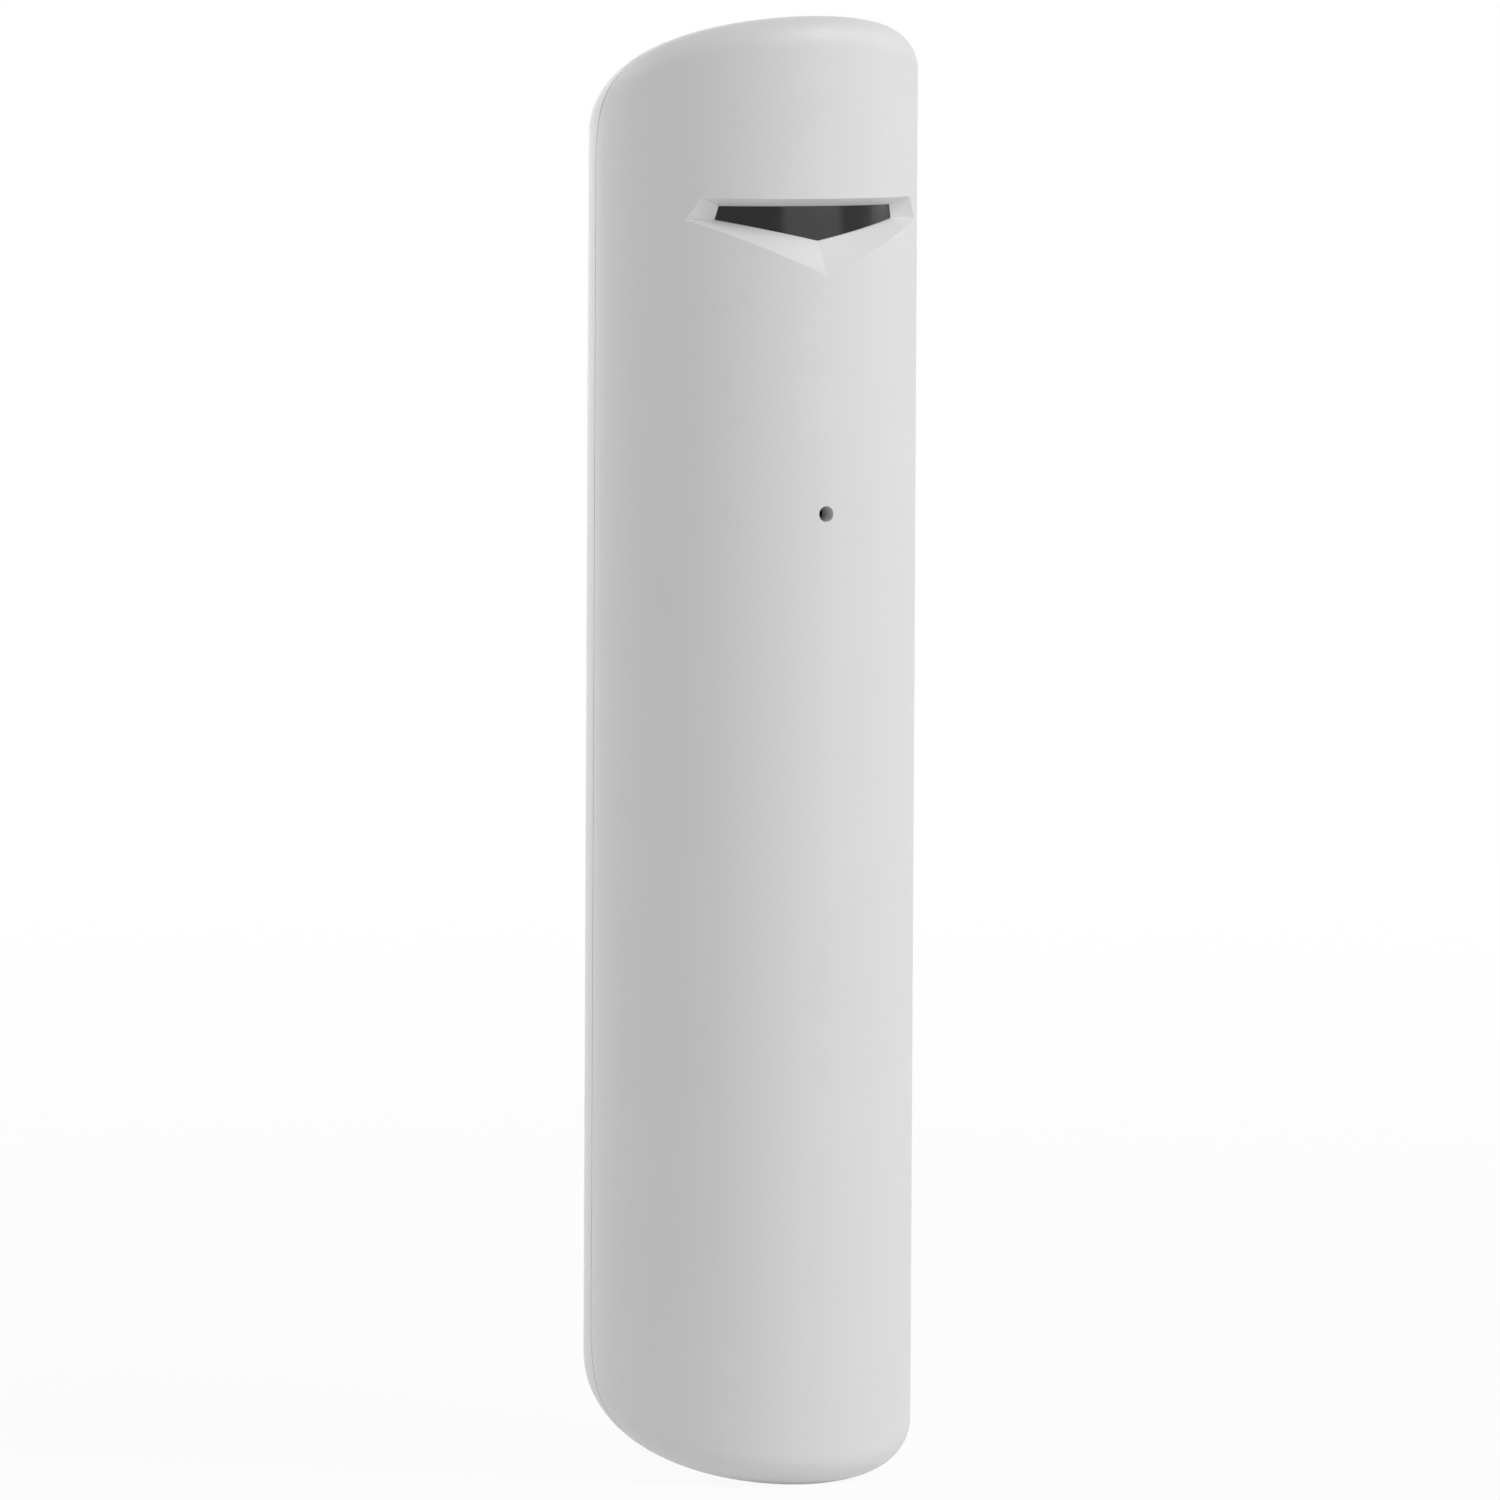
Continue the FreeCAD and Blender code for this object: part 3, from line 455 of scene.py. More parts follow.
@dataclass(frozen=True)
class WorkedMetal:
    """Bare or plated metal, with fine marks that run along one axis from drawing, turning or rolling."""

    name: str
    colour: str
    tarnish: str
    stretch: tuple[float, float, float]
    mark_mm: float = 0.12
    smooth: float = 0.2
    rough: float = 0.38

    def build(self) -> Material:
        """Build the material.

        Returns:
            A metallic node material with stretched marks.
        """
        material, tree, place = start_material(self.name)
        along = add_node(tree, "ShaderNodeMapping", {},
                         {"Vector": place.outputs["Object"], "Scale": self.stretch})
        marks = add_node(tree, "ShaderNodeTexNoise", {},
                         {"Vector": along.outputs[0], "Scale": per_metre(self.mark_mm), "Detail": 3.0})
        stain = add_node(tree, "ShaderNodeTexNoise", {},
                         {"Vector": place.outputs["Object"], "Scale": per_metre(1.5), "Detail": 4.0})
        tint = add_node(tree, "ShaderNodeMix", {"data_type": "RGBA"},
                        {0: stain.outputs["Fac"], 6: linear(self.colour), 7: linear(self.tarnish)})
        gloss = add_node(tree, "ShaderNodeMapRange", {},
                         {"Value": marks.outputs["Fac"], "From Min": NOISE_LOW, "From Max": NOISE_HIGH,
                          "To Min": self.smooth, "To Max": self.rough})
        bump = add_node(tree, "ShaderNodeBump", {},
                        {"Height": marks.outputs["Fac"], "Strength": 0.6, "Distance": 0.002 * MM})
        shader = add_node(tree, "ShaderNodeBsdfPrincipled", {},
                          {"Base Color": tint.outputs[2], "Metallic": 1.0, "Roughness": gloss.outputs[0],
                           "Normal": bump.outputs["Normal"]})
        close_material(tree, shader)
        return material


@dataclass(frozen=True)
class SolderMask:
    """Lacquered glass-fibre laminate: copper tracks show through the green lacquer as paler, raised lines."""

    name: str = "solder_mask_on_laminate"
    bare: str = "#0E4A28"
    over_copper: str = "#1F7A42"
    track_mm: float = 1.1

    def build(self) -> Material:
        """Build the material.

        Returns:
            A glossy green node material with tracks along the board.
        """
        material, tree, place = start_material(self.name)
        parts = add_node(tree, "ShaderNodeSeparateXYZ", {}, {"Vector": place.outputs["Object"]})
        flat = add_node(tree, "ShaderNodeCombineXYZ", {}, {"X": parts.outputs["Z"], "Y": parts.outputs["X"]})
        tracks = add_node(tree, "ShaderNodeTexBrick", {"offset": 0.37, "squash": 1.6},
                          {"Vector": flat.outputs[0], "Scale": per_metre(self.track_mm) / 2, "Mortar Size": 0.06,
                           "Mortar Smooth": 0.1, "Brick Width": 2.6, "Row Height": 0.5, "Color1": (0, 0, 0, 1),
                           "Color2": (0, 0, 0, 1), "Mortar": (1, 1, 1, 1)})
        tint = add_node(tree, "ShaderNodeMix", {"data_type": "RGBA"},
                        {0: tracks.outputs["Color"], 6: linear(self.bare), 7: linear(self.over_copper)})
        bump = add_node(tree, "ShaderNodeBump", {},
                        {"Height": tracks.outputs["Color"], "Strength": 0.7, "Distance": 0.03 * MM})
        shader = add_node(tree, "ShaderNodeBsdfPrincipled", {},
                          {"Base Color": tint.outputs[2], "Roughness": 0.22, "Normal": bump.outputs["Normal"],
                           "IOR": 1.5, "Coat Weight": 0.3})
        close_material(tree, shader)
        return material


@dataclass(frozen=True)
class WovenMesh:
    """Fine woven polyester: round black threads over and under each other."""

    name: str = "woven_polyester_mesh"
    thread: str = "#2A2A2B"
    gap: str = "#060606"
    spacing_mm: float = 0.14

    def build(self) -> Material:
        """Build the material.

        Returns:
            A node material with crossed threads.
        """
        material, tree, place = start_material(self.name)
        rows = []
        for direction in ("X", "Z"):
            rows.append(add_node(tree, "ShaderNodeTexWave", {"bands_direction": direction},
                                 {"Vector": place.outputs["Object"],
                                  "Scale": per_metre(self.spacing_mm) / (2 * math.pi) * 0.5}))
        weave = add_node(tree, "ShaderNodeMath", {"operation": "MAXIMUM"},
                         {0: rows[0].outputs["Fac"], 1: rows[1].outputs["Fac"]})
        tint = add_node(tree, "ShaderNodeMix", {"data_type": "RGBA"},
                        {0: weave.outputs[0], 6: linear(self.gap), 7: linear(self.thread)})
        bump = add_node(tree, "ShaderNodeBump", {},
                        {"Height": weave.outputs[0], "Strength": 1.0, "Distance": 0.04 * MM})
        shader = add_node(tree, "ShaderNodeBsdfPrincipled", {},
                          {"Base Color": tint.outputs[2], "Roughness": 0.8, "Normal": bump.outputs["Normal"],
                           "Sheen Weight": 0.2})
        close_material(tree, shader)
        return material


class Finish(Enum):
    """Every finish of the sensor, by what it is."""

    # White ABS from a spark-eroded mould: an even satin white that mirrors nothing clearly. The grain is drawn
    # at 0.3 mm, coarser than the real one, so that it softens the highlights.
    HOUSING_ABS = MouldedPlastic("white_moulded_abs", "#EAE9E9", "#E6E5E5")
    # The same ABS from a plainer mould: a touch greyer and duller than the housing.
    PANEL_ABS = MouldedPlastic("white_panel_abs", "#E6E6E5", "#DFDFDE", grain_mm=0.4, lift_mm=0.006, rough=0.6)
    # Smoked polycarbonate, polished: nearly black, with one soft, grey reflection of a lamp.
    SMOKED = ClearPlastic("smoked_polycarbonate", "#0B090A", 0.0, 1.4, smooth=0.12, rough=0.2)
    # Clear acrylic, polished: light goes through it with a faint cold tint.
    ACRYLIC = ClearPlastic("clear_acrylic", "#F2F6F7", 0.92, 1.49)
    # Cast epoxy over the LED's phosphor: cloudy and yellowish.
    LED_RESIN = ClearPlastic("led_epoxy_resin", "#F3EFC8", 0.7, 1.5, smooth=0.15, rough=0.3)
    # Green lacquer over etched copper: glossy dark green with paler tracks.
    LAMINATE = SolderMask()
    # Zinc-plated steel, rolled or turned: a cool grey with fine marks and a dull shine.
    ZINC = WorkedMetal("zinc_plated_steel", "#C6C7C9", "#AEB0B2", (1.0, 6.0, 1.0))
    # Drawn spring wire: grey and even.
    SPRING_STEEL = WorkedMetal("spring_steel_wire", "#BFBFC0", "#9FA0A2", (1.0, 1.0, 1.0), mark_mm=0.05)
    # Drawn aluminium: the palest metal, with marks along the draw.
    ALUMINIUM = WorkedMetal("drawn_aluminium", "#D3D4D6", "#C2C3C6", (1.0, 8.0, 1.0))
    # Rolled and folded brass: yellow with a brown tarnish.
    BRASS = WorkedMetal("rolled_brass", "#D8B46A", "#B98F48", (1.0, 1.0, 8.0))
    # Copper dipped in tin: a warm, pale grey.
    TINNED_COPPER = WorkedMetal("tinned_copper", "#D6D5D1", "#B9B7B1", (1.0, 5.0, 1.0))
    # Tin solder that froze round a pin: bright and smooth.
    SOLDER = WorkedMetal("tin_solder", "#CFCFCD", "#A9A9A6", (1.0, 1.0, 1.0), mark_mm=0.3, smooth=0.16,
                         rough=0.32)
    # Plated steel lid: yellowish grey, brushed across.
    CAN_STEEL = WorkedMetal("plated_can_steel", "#D0CCC0", "#B8B4A8", (4.0, 1.0, 1.0))
    # Silicone rubber: black without shine.
    SILICONE = MouldedPlastic("silicone_rubber", "#1E1E1F", "#171717", grain_mm=0.2, lift_mm=0.003, smooth=0.6,
                              rough=0.75, specular=0.35)
    # Woven polyester: black threads, drawn at 0.14 mm, which is coarse for a dust mesh, so that they show.
    MESH = WovenMesh()
    # Glass-filled polyamide: black, grainy and mottled by its fibres.
    POLYAMIDE = MouldedPlastic("glass_filled_polyamide", "#2C2D2E", "#242526", grain_mm=0.18, lift_mm=0.006,
                               mottle_mm=2.0, smooth=0.45, rough=0.65)
    # The switch's case: a smoother black.
    SWITCH_PLASTIC = MouldedPlastic("black_switch_plastic", "#202122", "#1A1A1B", grain_mm=0.15, smooth=0.35,
                                    rough=0.5)
    # White acetal: a waxy, slightly warm white.
    ACETAL = MouldedPlastic("white_acetal", "#E3E2DC", "#DAD9D2", grain_mm=0.2, lift_mm=0.002, smooth=0.25,
                            rough=0.35)
    # Epoxy moulded round a chip: charcoal, finely pitted.
    CHIP_EPOXY = MouldedPlastic("moulded_chip_epoxy", "#26272A", "#1D1E20", grain_mm=0.06, lift_mm=0.006,
                                mottle_mm=1.0, smooth=0.5, rough=0.65)
    # Sintered ferrite: dark grey and rough, like fine stone.
    FERRITE = MouldedPlastic("sintered_ferrite", "#39393B", "#2A2A2C", grain_mm=0.09, lift_mm=0.01,
                             mottle_mm=0.6, smooth=0.55, rough=0.75)
    # Fired ceramic: tan with a slight glaze.
    CERAMIC = MouldedPlastic("fired_ceramic", "#B98D5E", "#A67C50", grain_mm=0.05, lift_mm=0.003, mottle_mm=0.5,
                             smooth=0.3, rough=0.45)


class Workshop:
    """Builds each finish once and puts it on nodes and pieces."""

    def __init__(self) -> None:
        """Start with no finish built."""
        self.built: dict[Finish, Material] = {}

    def material(self, finish: Finish) -> Material:
        """Give a finish's material, built at its first use.

        Args:
            finish: which finish.

        Returns:
            The node material.
        """
        if finish not in self.built:
            self.built[finish] = finish.value.build()
        return self.built[finish]

    def dress(self, name: str, finish: Finish) -> None:
        """Put a finish on a node of the frame.

        Args:
            name: the node.
            finish: which finish.
        """
        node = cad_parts[name]
        if not node.material_slots:
            node.data.materials.append(None)
        for place in node.material_slots:
            place.material = self.material(finish)
        LOG.info("dressed %s in %s", name, finish.value.name)

    def place(self, piece: Object, finish: Finish, slot: str, body: str = "sensor") -> None:
        """Give a finished piece its finish and its body.

        Args:
            piece: the object.
            finish: which finish.
            slot: not used.
            body: the body that it moves with.
        """
        piece.data.materials.clear()
        piece.data.materials.append(self.material(finish))
        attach(piece, body)
        LOG.info("placed %s in %s", piece.name, finish.value.name)


# Pieces on the board
@dataclass
class ChipLegs:
    """Tinned gull-wing legs down both sides of one moulded chip.

    A leg leaves the chip's side halfway up, slopes down to the board and ends in a flat foot. The three
    shares divide its reach.
    """

    node: str
    count: int
    pitch: float
    reach: float
    width: float = 0.22
    thickness: float = 0.1
    root: float = 0.2
    shoulder_share: float = 0.25
    slope_share: float = 0.2
    foot_share: float = 0.55
    edge: float = 0.02

    def build(self, shop: Workshop) -> None:
        """Bend one leg out of the chip's side and down to the board, then repeat it.

        Args:
            shop: the workshop that finishes the legs.
        """
        low, high = (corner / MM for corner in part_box(self.node))
        first_row = (low.z + high.z - (self.count - 1) * self.pitch) / 2
        start = Vector((high.x - self.root, (low.y + high.y) / 2, first_row))
        half = Vector((self.root, self.thickness, self.width)) / 2
        leg = start_block(f"{self.node}_legs", (start - half) * MM, (start + half) * MM)
        open_faces(leg, OUTWARD)
        drop = high.y - self.thickness / 2 - start.y
        extrude(OUTWARD * (self.root / 2 + self.shoulder_share * self.reach))
        extrude(OUTWARD * self.slope_share * self.reach + BACKWARD * drop)
        extrude(OUTWARD * self.foot_share * self.reach)
        bpy.ops.object.mode_set(mode="OBJECT")
        smooth(leg, self.edge, 1)
        apply_modifier(leg, "ARRAY", count=self.count, use_relative_offset=False, use_constant_offset=True,
                       constant_offset_displace=(0, 0, self.pitch * MM))
        apply_modifier(leg, "MIRROR", use_mirror_merge=False)
        shop.place(leg, Finish.TINNED_COPPER, "screw_steel")


@dataclass
class EndCaps:
    """The tinned ends of each small chip in a group, a share of its length wide and a little proud of it."""

    node: str
    share: float = 0.24
    proud: float = 0.015
    edge: float = 0.04

    def build(self, shop: Workshop) -> None:
        """Wrap one end of the first chip, then copy it to every end.

        Args:
            shop: the workshop that finishes the ends.
        """
        boxes = solids(self.node)
        low, high = boxes[0]
        skin = Vector((self.proud, self.proud, self.proud)) * MM
        inner = low.x + self.share * (high.x - low.x)
        first = start_block(f"{self.node}_cap", low - skin, Vector((inner, high.y, high.z + skin.z)))
        smooth(first, self.edge)
        across = Vector((high.x + skin.x - inner, 0, 0))
        caps = []
        for corner, _ in boxes:
            caps += [copied(first, corner - low), copied(first, corner - low + across)]
        bpy.data.objects.remove(first)
        shop.place(joined(f"{self.node}_ends", caps), Finish.TINNED_COPPER, "screw_steel")


@dataclass
class PinSolder:
    """A cone of solder round each terminal pin, where it comes through the board."""

    rings: Rings = field(default_factory=lambda: [
        (0.86, 0.0), (0.74, 0.05), (0.58, 0.16), (0.48, 0.32), (0.4, 0.42), (0.25, 0.46)])

    def build(self, shop: Workshop) -> None:
        """Model one cone and copy it to the other pins.

        Args:
            shop: the workshop that finishes the solder.
        """
        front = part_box("circuit_board")[0].y
        places = [Vector(((low.x + high.x) / 2, front, (low.z + high.z) / 2))
                  for low, high in solids("terminal_pins")]
        first = smooth(turned("solder_cone", places[0], self.rings))
        cones = [first] + [copied(first, place - places[0]) for place in places[1:]]
        shop.place(joined("terminal_solder", cones), Finish.SOLDER, "screw_steel")


@dataclass
class BoardScrews:
    """Pan-head screws with a cross recess, in place of the plain ones.

    The dome's rings are shares of the head's radius and of its height.
    """

    head_height: float = 1.2
    shank_radius: float = 0.97
    tip_radius: float = 0.6
    tip_length: float = 0.6
    dome: Rings = field(default_factory=lambda: [
        (1.0, 0.45), (0.95, 0.68), (0.82, 0.86), (0.6, 0.96), (0.3, 1.0)])
    cross_length: float = 2.0
    cross_width: float = 0.42
    cross_depth: float = 0.7

    def build(self, shop: Workshop) -> None:
        """Turn one screw from its tip to its domed head, cut the cross, and copy it.

        Args:
            shop: the workshop that finishes the screws.
        """
        boxes = solids("board_screws")
        low = boxes[0][0]
        tip, head, length = back_disc(*boxes[0])
        under = length - self.head_height
        rings = [(self.tip_radius, 0.0), (self.shank_radius, self.tip_length), (self.shank_radius, under),
                 (head, under)]
        rings += [(share * head, under + rise * self.head_height) for share, rise in self.dome]
        screw = smooth(turned("board_screw", tip, rings))
        cut_cross(screw, tip + FORWARD * length * MM, self.cross_length, self.cross_width, self.cross_depth)
        pair = joined("cross_head_screws", [smooth(screw), copied(screw, boxes[1][0] - low)])
        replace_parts(pair, "board_screws")
        shop.place(pair, Finish.ZINC, "screw_steel")


@dataclass
class CapacitorCans:
    """Electrolytic capacitors: a drawn can with a rolled groove and a vent, on a moulded foot.

    The crown's rings are insets from the can's side and depths below its top. The groove's are insets and
    heights above the foot.
    """

    foot: float = 0.4
    foot_corner: float = 0.3
    side_share: float = 0.97
    crown: Rings = field(default_factory=lambda: [(0.15, 0.0), (0.04, 0.04), (0.0, 0.15)])
    groove: Rings = field(default_factory=lambda: [
        (0.0, 0.75), (0.12, 0.6), (0.12, 0.5), (0.0, 0.35), (0.0, 0.0)])
    vent_share: float = 1.2
    vent_width: float = 0.16
    vent_depth: float = 0.12

    def build(self, shop: Workshop) -> None:
        """Turn one can from its vent towards the board, mould its foot, and copy both.

        Args:
            shop: the workshop that finishes the cans and their feet.
        """
        boxes = solids("filter_capacitors")
        low, high = boxes[0]
        top, radius, height = back_disc(low, high)
        side, seat = self.side_share * radius, height - self.foot
        rings = [(side - inset, depth) for inset, depth in self.crown]
        rings += [(side - inset, seat - above) for inset, above in self.groove]
        can = smooth(turned("capacitor_can", top, rings))
        cut_cross(can, top, self.vent_share * radius, self.vent_width, self.vent_depth)
        foot = start_block("capacitor_foot", low, Vector((high.x, low.y + self.foot * MM, high.z)))
        smooth(foot, self.foot_corner, 1)
        move = boxes[1][0] - low
        cans = joined("capacitor_cans", [smooth(can), copied(can, move)])
        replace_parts(cans, "filter_capacitors")
        shop.place(cans, Finish.ALUMINIUM, "capsule_metal")
        shop.place(joined("capacitor_feet", [foot, copied(foot, move)]), Finish.POLYAMIDE, "terminal_plastic")


@dataclass
class MicrophoneCan:
    """The microphone's drawn can: a rolled rim round a sunk face, with the sound port in its middle.

    The rim's rings are insets from the side and depths below the top. The port's are radii and depths.
    """

    edge: float = 0.1
    rim: Rings = field(default_factory=lambda: [
        (0.0, 0.25), (0.07, 0.08), (0.22, 0.0), (0.42, 0.0), (0.5, 0.12)])
    port: Rings = field(default_factory=lambda: [(0.45, 0.12), (0.42, 0.6)])

    def build(self, shop: Workshop) -> None:
        """Turn the can from the board to its port.

        Args:
            shop: the workshop that finishes the can.
        """
        back, radius, height = back_disc(*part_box("microphone_capsule"))
        rings = [(radius - self.edge, 0.0), (radius, self.edge)]
        rings += [(radius - inset, height - depth) for inset, depth in self.rim]
        rings += [(opening, height - depth) for opening, depth in self.port]
        can = turned("capsule_can", back, rings)
        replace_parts(smooth(can), "microphone_capsule")
        shop.place(can, Finish.ALUMINIUM, "capsule_metal")


@dataclass
class Inductor:
    """The shielded inductor: a square ferrite block with a round pocket, and the drum in the pocket."""

    corner: float = 0.4
    pocket_depth: float = 0.6
    drum_radius: float = 1.45
    drum_gap: float = 0.15
    drum_sunk: float = 0.08
    drum_edge: float = 0.1
    overshoot: float = 0.3

    def build(self, shop: Workshop) -> None:
        """Mould the shield, sink the pocket in it, and set the drum in the pocket.

        Args:
            shop: the workshop that finishes both.
        """
        low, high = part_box("power_inductor")
        back = back_disc(low, high)[0]
        shield = smooth(start_block("inductor_shield", low, high), self.corner, 3)
        pocket = self.drum_radius + self.drum_gap
        cut_out(shield, turned("pocket", back, [(pocket, -self.overshoot), (pocket, self.pocket_depth)]))
        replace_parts(smooth(shield), "power_inductor")
        shop.place(shield, Finish.FERRITE, "ferrite")
        drum = turned("inductor_drum", back, [
            (self.drum_radius - self.drum_edge, self.drum_sunk),
            (self.drum_radius, self.drum_sunk + self.drum_edge), (self.drum_radius, self.pocket_depth)])
        shop.place(smooth(drum), Finish.FERRITE, "ferrite")


@dataclass
class Crystal:
    """The crystal's ceramic base and its seam-welded metal lid, which has a dished middle."""

    base_edge: float = 0.08
    lid_height: float = 0.2
    lid_inset: float = 0.14
    lid_edge: float = 0.03
    seam: float = 0.16
    dish: float = 0.06

    def build(self, shop: Workshop) -> None:
        """Mould the base, then press the lid.

        Args:
            shop: the workshop that finishes both.
        """
        low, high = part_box("crystal")
        step = Vector((0, self.lid_height, 0)) * MM
        base = smooth(start_block("crystal_base", low + step, high), self.base_edge)
        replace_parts(base, "crystal")
        shop.place(base, Finish.FERRITE, "crystal_can")
        side = Vector((self.lid_inset, 0, self.lid_inset)) * MM
        lid = start_block("crystal_lid", low + side, Vector((high.x, low.y, high.z)) - side + step)
        open_faces(lid, FORWARD)
        bpy.ops.mesh.inset(thickness=self.seam * MM)
        extrude(BACKWARD * self.dish)
        bpy.ops.object.mode_set(mode="OBJECT")
        shop.place(smooth(lid, self.lid_edge, 1), Finish.CAN_STEEL, "crystal_can")


@dataclass
class StatusLed:
    """The LED's white base, with its resin lens in front."""

    base_edge: float = 0.05
    lens_height: float = 0.42
    lens_inset: float = 0.25
    lens_edge: float = 0.14

    def build(self, shop: Workshop) -> None:
        """Mould the base, then cast the lens.

        Args:
            shop: the workshop that finishes both.
        """
        low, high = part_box("status_led")
        top = low.y + self.lens_height * MM
        base = smooth(start_block("led_base", Vector((low.x, top, low.z)), high), self.base_edge, 1)
        shop.place(base, Finish.ACETAL, "plunger_plastic")
        inset = Vector((self.lens_inset, 0, 0)) * MM
        lens = start_block("led_lens", low + inset, Vector((high.x, top, high.z)) - inset)
        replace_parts(smooth(lens, self.lens_edge, 3), "status_led")
        shop.place(lens, Finish.LED_RESIN, "led_resin")


Piece = Union[ChipLegs, EndCaps, PinSolder, BoardScrews, CapacitorCans, MicrophoneCan, Inductor, Crystal,
              StatusLed]


# Sub-assemblies
@dataclass
class Assembly:
    """Nodes that belong together, with the finish of each, and the pieces that they need besides."""

    finishes: dict[str, Finish]
    pieces: list[Piece] = field(default_factory=list)

    def build(self, shop: Workshop) -> None:
        """Dress the nodes, then build the pieces.

        Args:
            shop: the workshop that gives the finishes.
        """
        for name, finish in self.finishes.items():
            shop.dress(name, finish)
        for piece in self.pieces:
            piece.build(shop)


@dataclass
class Housing(Assembly):
    """The two shells of the sensor and the panel that stays on the wall."""

    finishes: dict[str, Finish] = field(default_factory=lambda: {
        "front_housing": Finish.HOUSING_ABS, "rear_housing": Finish.HOUSING_ABS,
        "mounting_panel": Finish.PANEL_ABS})


@dataclass
class Indicator(Assembly):
    """The smoked window with its light guide and LED."""

    finishes: dict[str, Finish] = field(default_factory=lambda: {
        "indicator_window": Finish.SMOKED, "light_guide": Finish.ACRYLIC, "status_led": Finish.LED_RESIN})
    pieces: list[Piece] = field(default_factory=lambda: [StatusLed()])


@dataclass
class Electronics(Assembly):
    """The circuit board and all that stands on it."""

    finishes: dict[str, Finish] = field(default_factory=lambda: {
        "circuit_board": Finish.LAMINATE, "board_screws": Finish.ZINC, "microphone_capsule": Finish.ALUMINIUM,
        "microphone_boot": Finish.SILICONE, "acoustic_mesh": Finish.MESH, "terminal_block": Finish.POLYAMIDE,
        "terminal_screws": Finish.ZINC, "terminal_clamps": Finish.BRASS, "terminal_pins": Finish.TINNED_COPPER,
        "microcontroller": Finish.CHIP_EPOXY, "amplifier_chip": Finish.CHIP_EPOXY, "crystal": Finish.CAN_STEEL,
        "bus_transceiver": Finish.CHIP_EPOXY, "surge_diode": Finish.CHIP_EPOXY, "power_inductor": Finish.FERRITE,
        "filter_capacitors": Finish.ALUMINIUM, "chip_resistors": Finish.CHIP_EPOXY,
        "chip_capacitors": Finish.CERAMIC})
    pieces: list[Piece] = field(default_factory=lambda: [
        ChipLegs("microcontroller", 9, 0.5, 0.44), ChipLegs("amplifier_chip", 4, 0.65, 0.55),
        ChipLegs("bus_transceiver", 4, 0.95, 0.8, width=0.36), EndCaps("chip_resistors"),
        EndCaps("chip_capacitors"), PinSolder(), BoardScrews(), CapacitorCans(), MicrophoneCan(), Inductor(),
        Crystal()])


@dataclass
class Tamper(Assembly):
    """The switch that feels the wall panel through its plunger."""

    finishes: dict[str, Finish] = field(default_factory=lambda: {
        "tamper_switch": Finish.SWITCH_PLASTIC, "tamper_plunger": Finish.ACETAL,
        "tamper_spring": Finish.SPRING_STEEL})


# Studio
@dataclass
class Softbox:
    """One rectangular lamp that faces the sensor.

    Its azimuth runs from the front towards the right, in degrees. Its level is the share of full white that
    it gives a face turned to it.
    """

    name: str
    azimuth: float
    elevation: float
    distance: float
    width: float
    height: float
    level: float

    def build(self) -> None:
        """Hang the lamp and turn it to the sensor."""
        lamp = bpy.data.lights.new(self.name, "AREA")
        lamp.shape = "RECTANGLE"
        lamp.size = self.width
        lamp.size_y = self.height
        lamp.energy = self.level * (math.pi * self.distance) ** 2
        holder = bpy.data.objects.new(self.name, lamp)
        bpy.context.scene.collection.objects.link(holder)
        turn, rise = math.radians(self.azimuth), math.radians(self.elevation)
        out = Vector((math.sin(turn) * math.cos(rise), -math.cos(turn) * math.cos(rise), math.sin(rise)))
        holder.location = out * self.distance
        holder.rotation_euler = out.to_track_quat("Z", "Y").to_euler()


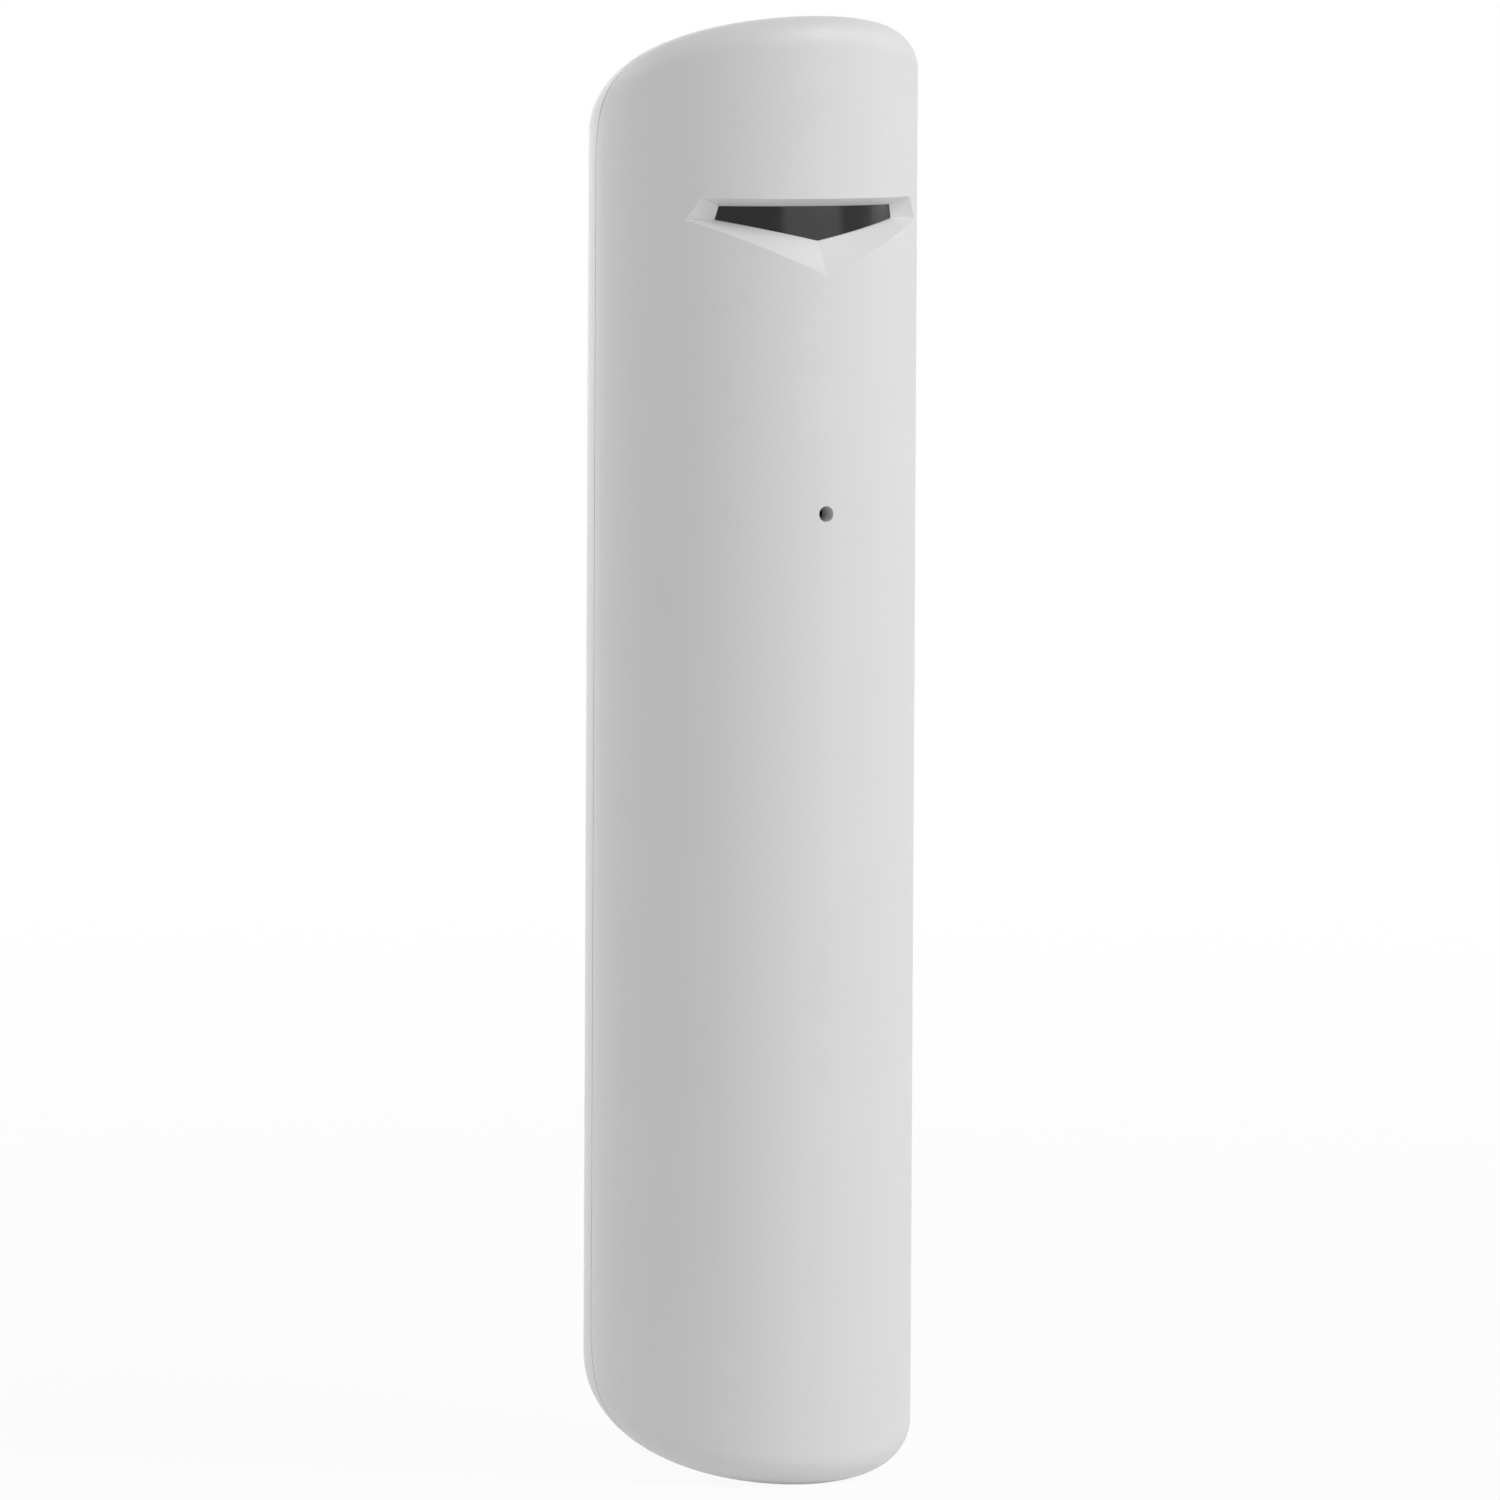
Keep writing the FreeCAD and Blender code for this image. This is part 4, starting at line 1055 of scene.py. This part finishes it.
@dataclass
class Studio:
    """A white floor and room, and soft lamps."""

    floor_size: float = 40.0
    room_level: float = 0.265
    floor_white: float = 0.92
    shadow_reach: float = 0.5
    lamps: list[Softbox] = field(default_factory=lambda: [
        Softbox("high_softbox", 28, 47, 1.2, 0.9, 0.6, 0.47),
        Softbox("low_softbox", 23.5, 3.5, 1.2, 0.98, 0.26, 0.10),
        Softbox("right_softbox", 84, 12, 1.6, 0.5, 0.7, 0.075),
        Softbox("left_softbox", -130, 20, 1.6, 1.0, 1.0, 0.24),
        Softbox("back_softbox", 178, 10, 1.4, 1.2, 0.8, 0.26)])

    def build(self) -> None:
        """Build the room, the floor and the lamps."""
        self.room()
        self.floor()
        for lamp in self.lamps:
            lamp.build()
        bpy.context.scene.view_settings.view_transform = "Standard"

    def seen(self, tree: Tree) -> bpy.types.NodeSocket:
        """Tell what the camera sees, straight, mirrored or through something clear.

        Args:
            tree: the tree that needs it.

        Returns:
            A socket that is 1 on such rays.
        """
        path = add_node(tree, "ShaderNodeLightPath", {}, {})
        pair = add_node(tree, "ShaderNodeMath", {"operation": "MAXIMUM"},
                        {0: path.outputs["Is Camera Ray"], 1: path.outputs["Is Glossy Ray"]})
        return add_node(tree, "ShaderNodeMath", {"operation": "MAXIMUM"},
                        {0: pair.outputs[0], 1: path.outputs["Is Transmission Ray"]}).outputs[0]

    def room(self) -> None:
        """Make the world white to the camera and softer as light."""
        world = bpy.data.worlds.new("white_room")
        world.use_nodes = True
        bpy.context.scene.world = world
        tree = world.node_tree
        tree.nodes.clear()
        level = add_node(tree, "ShaderNodeMapRange", {},
                         {"Value": self.seen(tree), "To Min": self.room_level, "To Max": 1.0})
        glow = add_node(tree, "ShaderNodeBackground", {},
                        {"Color": (1, 1, 1, 1), "Strength": level.outputs[0]})
        add_node(tree, "ShaderNodeOutputWorld", {}, {"Surface": glow.outputs[0]})

    def floor(self) -> None:
        """Lay the floor under the sensor's lower end: white far off, and just off white where the shadow falls."""
        bpy.ops.object.select_all(action="DESELECT")
        bpy.ops.mesh.primitive_plane_add(size=self.floor_size, location=(0, 0, CAD_BOX[0][2]))
        floor = bpy.context.object
        floor.name = "floor"
        material = bpy.data.materials.new("white_floor")
        material.use_nodes = True
        tree = material.node_tree
        tree.nodes.clear()
        matt = add_node(tree, "ShaderNodeBsdfDiffuse", {}, {"Color": linear("#F4F4F4")})
        glow = add_node(tree, "ShaderNodeEmission", {}, {"Color": (1, 1, 1, 1), "Strength": 1.0})
        place = add_node(tree, "ShaderNodeTexCoord", {}, {})
        reach = add_node(tree, "ShaderNodeVectorMath", {"operation": "LENGTH"}, {0: place.outputs["Object"]})
        white = add_node(tree, "ShaderNodeMapRange", {"interpolation_type": "SMOOTHSTEP"},
                         {"Value": reach.outputs["Value"], "From Min": 0.0, "From Max": self.shadow_reach,
                          "To Min": self.floor_white, "To Max": 1.0})
        share = add_node(tree, "ShaderNodeMath", {"operation": "MULTIPLY"},
                         {0: self.seen(tree), 1: white.outputs[0]})
        mixed = add_node(tree, "ShaderNodeMixShader", {},
                         {0: share.outputs[0], 1: matt.outputs[0], 2: glow.outputs[0]})
        add_node(tree, "ShaderNodeOutputMaterial", {}, {"Surface": mixed.outputs[0]})
        floor.data.materials.append(material)


@dataclass
class Camera:
    """A long lens a little above the sensor, on its left, fitted to the photograph's outline.

    Angles are in degrees, places in metres, and the lens and its film in millimetres.
    """

    azimuth: float = -26.99
    distance: float = 0.8919
    axis_y: float = -0.008
    height: float = 0.0599
    pitch: float = -3.866
    roll: float = 0.279
    lens: float = 352.08
    film_width: float = 36.0
    nearest: float = 0.05
    farthest: float = 200.0

    def build(self) -> None:
        """Place the camera and make it the scene's own."""
        data = bpy.data.cameras.new("camera")
        data.lens = self.lens
        data.sensor_width = self.film_width
        data.clip_start = self.nearest
        data.clip_end = self.farthest
        holder = bpy.data.objects.new("camera", data)
        bpy.context.scene.collection.objects.link(holder)
        turn, tip, lean = (math.radians(angle) for angle in (-self.azimuth, self.pitch, self.roll))
        ahead = Vector((math.sin(turn) * math.cos(tip), math.cos(turn) * math.cos(tip), math.sin(tip)))
        level = Vector((math.cos(turn), -math.sin(turn), 0))
        above = level.cross(ahead)
        right = level * math.cos(lean) + above * math.sin(lean)
        up = above * math.cos(lean) - level * math.sin(lean)
        place = Vector((-self.distance * math.sin(turn), self.axis_y - self.distance * math.cos(turn),
                        self.height))
        holder.matrix_world = Matrix((
            (right.x, up.x, -ahead.x, place.x), (right.y, up.y, -ahead.y, place.y),
            (right.z, up.z, -ahead.z, place.z), (0, 0, 0, 1)))
        bpy.context.scene.camera = holder


def main() -> None:
    """Build the camera, the studio and the sensor's sub-assemblies, in that order."""
    logging.basicConfig(level=logging.INFO, format="%(message)s")
    Camera().build()
    Studio().build()
    shop = Workshop()
    for assembly in (Housing(), Indicator(), Electronics(), Tamper()):
        assembly.build(shop)


if __name__ == "__main__":
    main()
